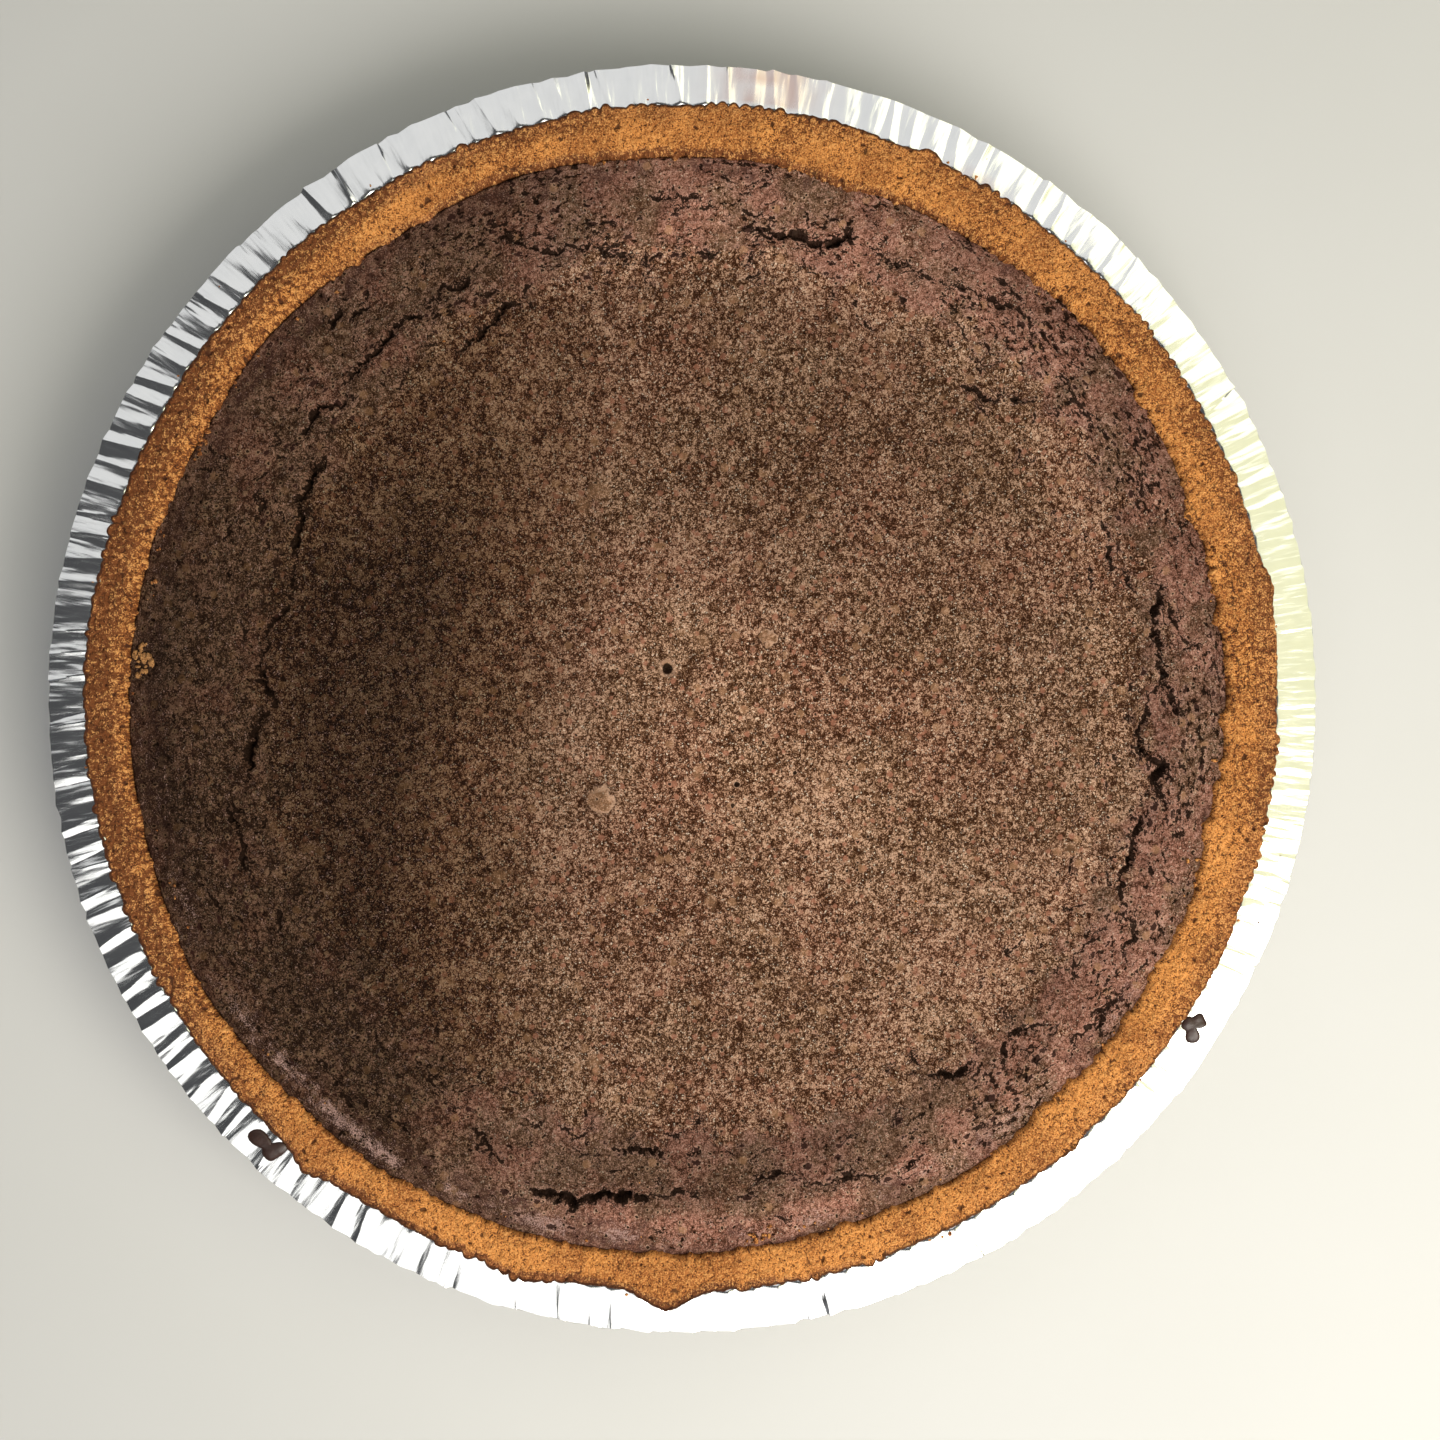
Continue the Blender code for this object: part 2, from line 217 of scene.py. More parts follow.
# Repeatable noise on arrays of points, in millimetres.


def hashed(ix, iy, seed):
    """A random number from 0 to 1 for each whole-number cell."""
    mixed = (ix * 374761393 + iy * 668265263 + seed * 974634777) & 0xFFFFFFFF
    mixed = ((mixed ^ (mixed >> 13)) * 1274126177) & 0xFFFFFFFF
    mixed = ((mixed ^ (mixed >> 15)) * 668265263) & 0xFFFFFFFF
    return ((mixed ^ (mixed >> 16)) & 0xFFFFFF) / float(0xFFFFFF)


def bumps(x, y, size, seed):
    """Smooth noise from -1 to 1 whose bumps are about size across."""
    u, v = x / size, y / size
    ix, iy = np.floor(u).astype(np.int64), np.floor(v).astype(np.int64)
    fx, fy = u - ix, v - iy
    fx, fy = fx * fx * (3 - 2 * fx), fy * fy * (3 - 2 * fy)
    low = hashed(ix, iy, seed) * (1 - fx) + hashed(ix + 1, iy, seed) * fx
    high = hashed(ix, iy + 1, seed) * (1 - fx) + hashed(ix + 1, iy + 1, seed) * fx
    return (low * (1 - fy) + high * fy) * 2 - 1


def fractal(x, y, size, seed, octaves=3):
    """Bumps with smaller and smaller ones on them, from -1 to 1."""
    total, share, norm = 0.0, 1.0, 0.0
    for octave in range(octaves):
        total = total + share * bumps(x, y, size, seed + octave)
        norm += share
        share *= 0.5
        size *= 0.47
    return total / norm


def cells(x, y, size, seed):
    """Distances to the nearest and second nearest scattered points, and the nearest one's number.

    The distances are in cell sizes, and the number is from 0 to 1.
    """
    u, v = x / size, y / size
    ix, iy = np.floor(u).astype(np.int64), np.floor(v).astype(np.int64)
    first = np.full(u.shape, 9.0)
    second = np.full(u.shape, 9.0)
    number = np.zeros(u.shape)
    for dx in (-1, 0, 1):
        for dy in (-1, 0, 1):
            cx, cy = ix + dx, iy + dy
            px = cx + hashed(cx, cy, seed)
            py = cy + hashed(cx, cy, seed + 1)
            away = np.hypot(u - px, v - py)
            nearer = away < first
            second = np.where(nearer, first, np.minimum(second, away))
            number = np.where(nearer, hashed(cx, cy, seed + 2), number)
            first = np.where(nearer, away, first)
    return first, second, number


def smooth_step(start, end, value):
    share = np.clip((value - start) / (end - start), 0.0, 1.0)
    return share * share * (3 - 2 * share)


def bell(value, centre, width):
    return np.exp(-(((value - centre) / width) ** 2))


def turn_bell(angles, degrees, width):
    """A bump round one bearing, both in degrees."""
    off = (np.degrees(angles) - degrees + 180) % 360 - 180
    return np.exp(-((off / width) ** 2))


def turn_bells(angles, *rows):
    """A sum of bumps round the tin, each given as its height, its bearing and its width."""
    return sum(height * turn_bell(angles, degrees, width) for height, degrees, width in rows)


# The filling's form, by the formulas of its solid, but with an edge that reaches farther in places.


def solid_noise(x, y, z):
    return np.array([noise.noise(Vector(point)) for point in zip(x, y, z)])


def filling_edge(angles):
    """Radius of the filling's upper edge."""
    turn = 26 / TAU
    wander = solid_noise(turn * np.cos(angles), turn * np.sin(angles), np.full(angles.shape, 3.7))
    offset = EDGE_OFFSET * np.cos(angles - EDGE_OFFSET_ANGLE)
    return EDGE_RADIUS + offset + EDGE_WANDER * wander + turn_bells(angles, *EDGE_SHIFTS)


def filling_zones(radii, angles, edges):
    """From 0 in the sunken middle to 1 on the ring, and from 0 inside the crest to 1 at the edge."""
    foot = RING_FOOT + RING_FOOT_SHIFT * np.cos(angles - RING_FOOT_ANGLE)
    return smooth_step(foot - 6, foot + 5, radii), smooth_step(RING_CREST, edges, radii)


def filling_height(x, y, rise, fall):
    """Height of the filling's top: its middle, the lumpy ring round it, and its edge."""
    lump = solid_noise(x / 9, y / 9, np.full(x.shape, 1.3))
    swell = solid_noise(x / 22, y / 22, np.full(x.shape, 5.1))
    ring = PLATEAU_HEIGHT + (RING_HEIGHT - PLATEAU_HEIGHT) * rise + RING_LUMP * lump * rise
    return (ring + 0.25 * swell * (1 - rise)) * (1 - fall) + EDGE_HEIGHT * fall


# Meshes from rings of points.


def round_points(radius, angles, height):
    """Points round the tin's axis. The radius and the height may each be one number for all of them."""
    radius, height = np.broadcast_to(radius, angles.shape), np.broadcast_to(height, angles.shape)
    return np.stack([radius * np.cos(angles), radius * np.sin(angles), height], 1)


def stitch(first, first_count, second, second_count):
    """Faces from one ring to the next. One of the rings may have a whole multiple of the other's points."""
    if first_count < second_count:
        return [part[:, ::-1] for part in stitch(second, second_count, first, first_count)]
    if second_count == 1:
        a = np.arange(first_count)
        return [np.stack([first + a, first + (a + 1) % first_count, np.full(first_count, second)], 1)]
    if first_count == second_count:
        a = np.arange(first_count)
        b = (a + 1) % first_count
        return [np.stack([first + a, first + b, second + b, second + a], 1)]
    times = first_count // second_count
    near = np.arange(second_count)
    far = (near + 1) % second_count
    faces = []
    for step in range(times):
        corner = near if step < times // 2 else far
        start = near * times + step
        faces.append(np.stack([first + start, first + (start + 1) % first_count, second + corner], 1))
    faces.append(np.stack([first + near * times + times // 2, second + far, second + near], 1))
    return faces


def rings_mesh(counts):
    """All the faces of a stack of rings, given how many points each has."""
    starts = np.concatenate([[0], np.cumsum(counts)[:-1]])
    faces = []
    for place in range(len(counts) - 1):
        faces += stitch(starts[place], counts[place], starts[place + 1], counts[place + 1])
    return faces


def mesh_object(name, points, faces, material, attributes=None):
    """A shaded mesh from points in millimetres and arrays of triangles and quads."""
    mesh = bpy.data.meshes.new(name)
    sizes = np.concatenate([np.full(len(part), part.shape[1]) for part in faces])
    corners = np.concatenate([part.ravel() for part in faces]).astype(np.int32)
    mesh.vertices.add(len(points))
    mesh.vertices.foreach_set("co", (points * MM).astype(np.float32).ravel())
    mesh.loops.add(len(corners))
    mesh.loops.foreach_set("vertex_index", corners)
    mesh.polygons.add(len(sizes))
    starts = np.concatenate([[0], np.cumsum(sizes)[:-1]]).astype(np.int32)
    mesh.polygons.foreach_set("loop_start", starts)
    for key, values in (attributes or {}).items():
        layer = mesh.attributes.new(key, "FLOAT", "POINT")
        layer.data.foreach_set("value", values.astype(np.float32))
    mesh.update(calc_edges=True)
    mesh.validate()
    mesh.shade_smooth()
    mesh.materials.append(material)
    obj = bpy.data.objects.new(name, mesh)
    bpy.context.scene.collection.objects.link(obj)
    return obj


# Materials. Colours are linear shares of red, green and blue.

GOLDEN_LIGHT = (0.74, 0.285, 0.067, 1)
GOLDEN_DEEP = (0.44, 0.148, 0.033, 1)
BROWN_LIGHT = (0.335, 0.113, 0.039, 1)
BROWN_DEEP = (0.15, 0.044, 0.016, 1)
CRUMB_PALE = (0.86, 0.42, 0.135, 1)
CRUMB_DARK = (0.19, 0.058, 0.014, 1)
CRUMB_TAN = (0.40, 0.22, 0.09, 1)
CRUMB_CREVICE_SHADE = (0.045, 0.012, 0.004, 1)
COCOA_OLIVE = (0.178, 0.089, 0.044, 1)
COCOA_RED = (0.210, 0.088, 0.048, 1)
COCOA_PALE = (0.61, 0.38, 0.26, 1)
COCOA_DARK = (0.036, 0.011, 0.003, 1)
COCOA_PAINTED_GLINT = (0.95, 0.80, 0.64, 1)
COCOA_TAN = (0.42, 0.225, 0.12, 1)
COCOA_SALMON = (0.37, 0.155, 0.095, 1)
COCOA_CREVICE_SHADE = (0.009, 0.004, 0.002, 1)
SKIN_OLIVE = (0.155, 0.086, 0.050, 1)
SKIN_PINK = (0.272, 0.120, 0.083, 1)
SKIN_PALE = (0.53, 0.30, 0.23, 1)
SKIN_PAINTED_SHEEN = (0.50, 0.32, 0.28, 1)
SHADE_TINT = (1.0, 0.94, 0.78, 1)
SKIN_PIT_SHADE = (0.022, 0.006, 0.004, 1)
SKIN_SMOOTH_SHADED = (0.088, 0.037, 0.028, 1)
CHOCOLATE_DARK = (0.016, 0.006, 0.004, 1)
CHOCOLATE_LIGHT = (0.0482, 0.0176, 0.011, 1)
FOIL_LIGHT = (0.90, 0.90, 0.89, 1)
FOIL_DULL = (0.80, 0.81, 0.81, 1)
JUICE_STAIN = (0.6724, 0.3515, 0.2623, 1)
FLOOR_LIGHT = (0.64, 0.64, 0.635, 1)
FLOOR_DULL = (0.62, 0.62, 0.61, 1)


class Surface:
    """A material's node tree, with one short method for each kind of node that is used here."""

    def __init__(self, name):
        self.material = bpy.data.materials.new(name)
        self.material.use_nodes = True
        self.tree = self.material.node_tree
        self.shader = self.tree.nodes["Principled BSDF"]
        place = self.tree.nodes.new("ShaderNodeTexCoord").outputs["Object"]
        self.place = self.scaled(place, 1 / MM)
        self.flat = self.vector("MULTIPLY", self.place, (1.0, 1.0, 0.0))

    def put(self, socket, value):
        """Links a socket to another node's output, or sets it to a number or a colour."""
        if isinstance(value, bpy.types.NodeSocket):
            self.tree.links.new(value, socket)
        else:
            socket.default_value = value

    def node(self, kind, inputs, operation=None):
        """A new node, with its inputs given by name or number."""
        made = self.tree.nodes.new("ShaderNode" + kind)
        if operation:
            made.operation = operation
        for name, value in inputs.items():
            self.put(made.inputs[name], value)
        return made

    def vector(self, operation, *inputs, output="Vector"):
        return self.node("VectorMath", dict(enumerate(inputs)), operation).outputs[output]

    def scaled(self, place, scale):
        return self.node("VectorMath", {0: place, "Scale": scale}, "SCALE").outputs[0]

    def distance_from(self, x, y):
        """Distance from a point of the tart, seen from above."""
        return self.vector("DISTANCE", self.flat, (x, y, 0.0), output="Value")

    def noise_node(self, size, detail, roughness, place=None, dimensions="2D"):
        grain = {"Scale": 1 / size, "Detail": detail, "Roughness": roughness}
        made = self.node("TexNoise", {"Vector": place or self.place, **grain})
        made.noise_dimensions = dimensions
        return made

    def noise(self, size, detail=2.0, roughness=0.5, place=None, dimensions="2D"):
        return self.noise_node(size, detail, roughness, place, dimensions).outputs["Fac"]

    def pushed(self, place, push, amount):
        """The place, pushed about by a noise colour, so that shapes drawn from it are ragged."""
        return self.vector("ADD", place, self.scaled(push, amount))

    def cells(self, size, place):
        """Distance in millimetres to the nearest scattered point, and that point's three random numbers."""
        made = self.node("TexVoronoi", {"Vector": place, "Scale": 1 / size})
        made.voronoi_dimensions = "2D"
        split = self.node("SeparateColor", {0: made.outputs["Color"]})
        return self.times(made.outputs["Distance"], size), split.outputs

    def around_axis(self, stretch):
        """A place that changes round the tin and only slowly along its radius, for streaks."""
        circle = self.scaled(self.vector("NORMALIZE", self.flat), RIM_RADIUS)
        return self.vector("ADD", circle, self.scaled(self.place, stretch))

    def around_ring(self, stretch):
        """A flat place whose first axis runs round the ring, for shapes that are long that way."""
        split = self.node("SeparateXYZ", {0: self.place})
        turn = self.math("ARCTAN2", split.outputs["Y"], split.outputs["X"])
        along = self.times(turn, RING_MIDDLE / stretch)
        return self.node("CombineXYZ", {"X": along, "Y": self.distance_from(0.0, 0.0)}).outputs[0]

    def attribute(self, name):
        made = self.tree.nodes.new("ShaderNodeAttribute")
        made.attribute_name = name
        return made.outputs["Fac"]

    def math(self, operation, first, *others):
        """The operation on one value, or on a row of values from left to right."""
        for other in others or (0.0,):
            first = self.node("Math", {0: first, 1: other}, operation).outputs[0]
        return first

    def total(self, *values):
        return self.math("ADD", *values)

    def times(self, *values):
        return self.math("MULTIPLY", *values)

    def either(self, *values):
        return self.math("MAXIMUM", *values)

    def swing(self, noise_value, amount):
        """A noise that runs from 0 to 1, turned into as much less as more, times an amount."""
        return self.times(self.total(noise_value, -0.5), amount)

    def span(self, value, low, high, to_low=0.0, to_high=1.0):
        """Maps low to to_low and high to to_high, and stays within them."""
        limits = {"From Min": low, "From Max": high, "To Min": to_low, "To Max": to_high}
        made = self.node("MapRange", {"Value": value, **limits})
        made.interpolation_type = "SMOOTHSTEP"
        return made.outputs["Result"]

    def mix(self, factor, first, second, blend="MIX"):
        made = self.node("Mix", {"Factor": factor})
        made.data_type = "RGBA"
        made.blend_type = blend
        colours = [socket for socket in made.inputs if socket.type == "RGBA"]
        self.put(colours[0], first)
        self.put(colours[1], second)
        return [socket for socket in made.outputs if socket.type == "RGBA"][0]

    def bump(self, height, distance, strength):
        """Relief from a height whose unit is distance, in millimetres."""
        settings = {"Strength": strength, "Distance": distance * MM}
        return self.node("Bump", {"Height": height, **settings}).outputs["Normal"]

    def finish(self, colour, roughness, normal=None, **constants):
        self.put(self.shader.inputs["Base Color"], colour)
        self.put(self.shader.inputs["Roughness"], roughness)
        if normal is not None:
            self.put(self.shader.inputs["Normal"], normal)
        for name, value in constants.items():
            self.shader.inputs[name.replace("_", " ")].default_value = value
        return self.material


def foil_material():
    """Bare foil with fine drawn lines, and a thin smear of juice where the stain attribute is set."""
    s = Surface("crinkled_foil")
    stain = s.attribute("stain")
    bare = s.mix(s.noise(4.0, 3.0), FOIL_LIGHT, FOIL_DULL)
    colour = s.mix(s.times(stain, 0.75), bare, JUICE_STAIN)
    streaks = s.noise(0.5, 3.0, 0.6, s.around_axis(0.08), "3D")
    creases = s.noise(1.9, 1.0, 0.4, s.around_axis(0.3), "3D")
    roughness = s.total(s.span(streaks, 0.3, 0.7, 0.13, 0.2), s.times(stain, 0.25))
    height = s.total(s.times(streaks, 0.12), creases)
    return s.finish(colour, roughness, s.bump(height, 0.2, 0.7), Metallic=1.0)


def crust_material():
    """Baked crumb: golden inside, browner towards the foil, with dark gaps, and pits and worm-like cracks
    darkened with painted shade.
    """
    s = Surface("baked_crumb")
    bake_and_shade, grainy, tint_and_shade = s.attribute("bake_and_shade"), s.attribute("grainy"), s.attribute("tint_and_shade")
    ragged = s.pushed(s.place, s.noise_node(0.6, 2.0, 0.6).outputs["Color"], 0.55)
    distance, cell = s.cells(0.8, ragged)
    fine = s.noise(0.3, 3.0, 0.75)
    rough = s.noise(0.9, 3.0, 0.7)
    golden = s.mix(tint_and_shade, GOLDEN_LIGHT, GOLDEN_DEEP)
    brown = s.mix(tint_and_shade, BROWN_LIGHT, BROWN_DEEP)
    worn = s.total(bake_and_shade, s.swing(rough, 0.8))
    colour = s.mix(s.span(worn, 0.15, 0.85), golden, brown)
    # Grains from dark to pale, with darker gaps between them.
    gaps = s.span(s.total(distance, s.swing(fine, 0.25)), 0.4, 0.5)
    gaps = s.times(gaps, s.span(grainy, 0.2, 1.0, 0.1, 1.0))
    grains = s.swing(cell[0], s.span(grainy, 0.2, 1.0, 0.3, 0.8))
    tone = s.total(s.swing(fine, 5.0), s.swing(rough, 2.6), grains, s.times(gaps, -0.7))
    tone = s.times(tone, s.span(grainy, 0.1, 1.0, 1.0, 2.0))
    tone = s.total(tone, s.span(grainy, 0.3, 1.0, 0.14, -0.05), s.span(bake_and_shade, 0.75, 1.25, 0.0, -0.4))
    colour = s.mix(s.span(tone, 0.0, 1.2, 0.0, 0.85), colour, CRUMB_PALE)
    colour = s.mix(s.span(tone, 0.0, -0.75), colour, CRUMB_DARK)
    colour = s.mix(s.span(bake_and_shade, -0.2, -0.9, 0.0, 0.7), colour, CRUMB_TAN)
    # Short cracks, pits and the hollows of the mesh, darkened with painted shade, with the painted shadow in
    # the gap to the foil.
    worm = s.math("ABSOLUTE", s.total(s.noise(2.4, 2.0, 0.6, s.around_ring(1.5)), -0.5))
    broken = s.span(s.noise(3.4, 2.0, 0.5), 0.56, 0.48)
    worms = s.times(s.span(worm, 0.004, 0.024, 1.0, 0.0), broken, s.attribute("cracked"))
    pits = s.span(s.total(rough, s.swing(fine, 0.9)), 0.365, 0.31)
    deep = s.span(s.total(s.attribute("hollow_shade"), s.swing(fine, 0.7)), 0.3, 0.7)
    colour = s.mix(s.times(s.either(worms, pits, deep), 0.85), colour, CRUMB_CREVICE_SHADE)
    height = s.total(s.times(fine, 0.6), rough, s.times(distance, -1.1))
    return s.finish(colour, 0.75, s.bump(height, 0.35, 0.9), Specular_IOR_Level=0.25)


def add_spots(s, colour, uneven):
    """Paints the risen spots tan, each with a paler rim on its right that is a painted highlight, and a dark
    line round it.
    """
    for (cx, cy), radius, _ in SPOTS:
        share = s.times(s.total(s.distance_from(cx, cy), s.times(uneven, 3.0)), 1 / radius)
        colour = s.mix(s.span(share, 1.0, 0.8, 0.0, 0.45), colour, COCOA_TAN)
        lit = s.span(s.distance_from(cx + radius, cy), radius, 2 * radius, 0.7, 0.0)
        rim = s.times(s.span(share, 0.6, 0.85), s.span(share, 1.05, 0.9), lit)
        colour = s.mix(rim, colour, COCOA_PALE)
        line = s.times(s.span(share, 0.95, 1.05), s.span(share, 1.3, 1.1), 0.5)
        colour = s.mix(line, colour, COCOA_DARK)
    return colour


def add_holes(s, colour, dark, uneven):
    """Paints the pale rims of the round holes, and adds the holes to what is dark."""
    for (cx, cy), radius, wall in HOLES:
        away = s.total(s.distance_from(cx, cy), s.times(uneven, 0.5))
        outside = s.span(away, radius + wall, radius + 0.6 * wall)
        rim = s.times(outside, s.span(away, radius - 0.1, radius + 0.3 * wall))
        colour = s.mix(s.times(rim, 0.4), colour, COCOA_PALE)
        dark = s.either(dark, s.span(away, radius + 0.1, radius - 0.12))
    return colour, dark


def filling_material():
    """Baked chocolate: a granular middle, a smoother and pinker ring, near-black cracks and pores, and
    painted shade, sheen and glints.
    """
    s = Surface("baked_chocolate")
    on_ring, shade, porous = s.attribute("skin"), s.attribute("shade"), s.attribute("porous")
    push = s.noise_node(0.6, 2.0, 0.6).outputs["Color"]
    ragged = s.pushed(s.place, push, 0.6)
    ring_place = s.around_ring(1.7)
    distance, cell = s.cells(0.7, ragged)
    fine_distance, fine_cell = s.cells(0.36, ragged)
    holes_distance, hole = s.cells(1.9, ragged)
    fine = s.noise(0.28, 2.0, 0.8)
    clump = s.noise(1.8, 3.0, 0.6)
    uneven = s.total(clump, -0.5)
    # The middle: grains from dark to pale, with dark gaps between them, over redder or more olive patches.
    base = s.mix(s.attribute("patch"), COCOA_OLIVE, COCOA_RED)
    gaps = s.span(distance, 0.28, 0.44)
    grains = s.total(s.swing(fine_cell[1], 1.4), cell[0], -0.5)
    tone = s.total(s.swing(fine, 6.0), grains, s.times(uneven, 1.3), s.times(gaps, -0.6))
    broad = s.swing(s.noise(3.0, 4.0, 0.65), s.span(shade, 0.2, 0.8, 3.4, 1.4))
    tone = s.total(tone, s.attribute("drift"), broad)
    tone = s.times(tone, 1.28)
    middle = s.mix(s.span(tone, 0.0, 1.4), base, COCOA_PALE)
    middle = s.mix(s.span(tone, 0.0, -1.1), middle, COCOA_DARK)
    # Painted glints: tiny bright specks that stand in for highlights on the grains.
    painted_glints = s.times(s.span(fine_cell[0], 0.88, 1.0), s.span(fine_distance, 0.05, 0.17, 1.0, 0.0))
    middle = s.mix(s.times(painted_glints, 0.8), middle, COCOA_PAINTED_GLINT)
    # Small round spots of a warmer colour.
    spots = s.span(s.total(holes_distance, s.times(hole[1], -0.3)), 0.38, 0.2)
    middle = s.mix(s.times(spots, s.span(hole[2], 0.74, 0.8), 0.7), middle, COCOA_SALMON)
    # The ring's skin: the same grains, fainter, on a ground that is pinker in places, and pale granules.
    skin = s.mix(s.attribute("pinkness"), SKIN_OLIVE, SKIN_PINK)
    skin_tone = s.times(tone, s.span(shade, 0.3, 0.8, 1.0, 0.62))
    skin = s.mix(s.span(skin_tone, 0.0, 1.4, 0.0, 0.9), skin, SKIN_PALE)
    skin = s.mix(s.span(skin_tone, 0.0, -1.0, 0.0, 0.9), skin, COCOA_DARK)
    skin = s.mix(s.times(painted_glints, 0.4), skin, COCOA_PAINTED_GLINT)
    granules = s.span(s.total(holes_distance, s.times(hole[0], -0.25)), 0.4, 0.28)
    granules = s.times(granules, s.span(hole[2], 0.34, 0.28), s.span(shade, 0.8, 0.3, 0.1, 0.5))
    skin = s.mix(granules, skin, COCOA_PALE)
    colour = s.mix(s.span(s.total(on_ring, s.times(uneven, 0.6)), 0.35, 0.75), middle, skin)
    # Smooth stretches darkened as painted shade on the slope down to the crust and in the valleys, tan
    # blotches and the risen spots.
    smooth = s.either(s.attribute("shaded_band"), s.times(s.attribute("shaded_valley"), 0.7))
    smooth = s.times(smooth, s.span(s.total(clump, s.swing(fine, 0.8)), 0.3, 0.6, 1.0, 0.35))
    colour = s.mix(smooth, colour, SKIN_SMOOTH_SHADED)
    blotch_distance, blotch = s.cells(3.6, ragged)
    blotches = s.times(s.span(blotch_distance, 0.9, 0.6), s.span(blotch[2], 0.86, 0.9))
    colour = s.mix(s.times(s.either(s.attribute("mark"), blotches), 0.5), colour, COCOA_TAN)
    colour = add_spots(s, colour, uneven)
    # Cracks, near-black with painted shade, with paler lips that are partly their own colour and partly
    # painted highlight.
    jag = s.swing(s.noise(1.3, 4.0, 0.7), 1.9)
    thick = s.times(s.attribute("crack_half"), s.span(clump, 0.3, 0.7, 0.5, 2.0))
    gap = s.math("ABSOLUTE", s.total(s.attribute("crack_side"), jag))
    gap = s.total(gap, s.times(thick, -1.0))
    opened = s.times(s.span(gap, -0.05, 0.06, 1.0, 0.0), s.span(thick, 0.03, 0.09))
    pale_lit_lips = s.times(s.span(gap, 0.7, 0.1), s.span(thick, 0.05, 0.14), s.span(fine, 0.4, 0.6))
    colour = s.mix(s.times(pale_lit_lips, 0.45), colour, SKIN_PALE)
    # Pores, and rounder pocks and holes with paler rims; painted shade makes them near-black.
    long_noise = s.noise(0.95, 3.0, 0.65, ring_place)
    pores = s.span(s.total(long_noise, s.times(porous, -0.15), s.times(uneven, 0.25)), 0.28, 0.255)
    pock_distance, pock = s.cells(1.8, s.pushed(ring_place, push, 0.9))
    pock_size = s.times(pock[1], pock[1], 0.45)
    pock_edge = s.total(pock_distance, s.times(pock_size, -1.0), s.times(uneven, 0.7), s.swing(fine, 0.3))
    pocked = s.span(s.total(pock[0], s.times(porous, 0.7)), 1.06, 1.1)
    colour = s.mix(s.times(s.span(pock_edge, 0.5, 0.25), pocked, 0.35), colour, SKIN_PALE)
    pocks = s.times(s.span(pock_edge, 0.17, 0.09), pocked)
    often = s.times(on_ring, s.span(shade, 0.8, 0.3, 0.16, 0.3))
    chosen = s.span(s.total(hole[0], often), 0.9, 0.92)
    colour = s.mix(s.times(s.span(holes_distance, 0.5, 0.3), chosen, 0.4), colour, COCOA_PALE)
    holes = s.times(s.span(s.total(holes_distance, s.times(hole[1], -0.12)), 0.2, 0.13), chosen)
    dark = s.either(opened, pores, holes, s.span(s.attribute("pit"), 0.3, 0.6))
    colour, dark = add_holes(s, colour, dark, uneven)
    # The painted shade of the left side and its tint, the painted sheen, and at last all that is dark.
    colour = s.mix(1.0, colour, shade, "MULTIPLY")
    colour = s.mix(s.span(shade, 0.85, 0.25), colour, SHADE_TINT, "MULTIPLY")
    # A painted highlight: a pinkish sheen along the lower edge, broken up by noise.
    painted_sheen_mask = s.total(long_noise, s.swing(fine, 1.3), s.times(s.attribute("painted_sheen"), 0.42))
    colour = s.mix(s.span(painted_sheen_mask, 0.66, 1.15, 0.0, 0.85), colour, SKIN_PAINTED_SHEEN)
    # Pocks, cracks, pores and holes: their own dark colour deepened to near-black with painted shade.
    colour = s.mix(s.times(pocks, 0.92), colour, SKIN_PIT_SHADE)
    colour = s.mix(s.times(dark, 0.94), colour, COCOA_CREVICE_SHADE)
    height = s.total(s.times(fine, 1.5), s.times(clump, 2.0))
    rough = s.span(s.total(on_ring, s.times(clump, 0.6)), 0.2, 1.4, 0.6, 0.44)
    return s.finish(colour, s.either(rough, dark), s.bump(height, 0.2, 0.9), Specular_IOR_Level=0.07)


def splash_material():
    s = Surface("set_chocolate")
    colour = s.mix(s.noise(1.2, 3.0), CHOCOLATE_DARK, CHOCOLATE_LIGHT)
    return s.finish(colour, 0.4, s.bump(s.noise(0.8, 3.0), 0.1, 0.5), Specular_IOR_Level=0.5)


def floor_material():
    s = Surface("pale_floor")
    return s.finish(s.mix(s.noise(60.0, 2.0), FLOOR_DULL, FLOOR_LIGHT), 0.7)


# Foil tin.


def foil_creases():
    """Bearings and heights of the creases, two a flute, at the wall and at the outer edge of the flange."""
    rng = generator(1)
    pitch = TAU / FLUTES
    begin = np.arange(FLUTES) * pitch + rng.normal(0, 0.05 * pitch, FLUTES)
    width = pitch * rng.uniform(0.34, 0.62, FLUTES)
    wall = np.sort(np.stack([begin, begin + width], 1).ravel())
    slant = math.radians(0.45) + rng.normal(0, math.radians(0.33), wall.size)
    edge = np.sort(wall + slant)
    sign = np.where(np.arange(wall.size) % 2 == 0, 1.0, -1.0)
    wall_height = sign * rng.uniform(0.55, 1.25, wall.size)
    edge_height = sign * rng.uniform(0.1, 1.3, wall.size) + rng.normal(0, 0.35, wall.size)
    edge_reach = rng.uniform(-0.2, 0.12, wall.size) + 0.18 * (rng.random(wall.size) > 0.85)
    bulge = rng.normal(0, 0.35, wall.size)
    ridge = rng.choice((-1.0, 1.0), wall.size, p=(0.3, 0.7)) * rng.uniform(0.15, 0.7, wall.size)
    ridge *= 0.25 + 0.75 * turn_bell(wall, 165, 70)
    return wall, edge, wall_height, edge_height, edge_reach, bulge, ridge


CREASES = foil_creases()


def between(values, wrap=0.0):
    """Values at the columns: straight lines from crease to crease, and a turn more after the last one."""
    following = np.append(values[1:], values[0] + wrap)
    return (values[:, None] * (1 - CREASE_SHARES) + following[:, None] * CREASE_SHARES).ravel()


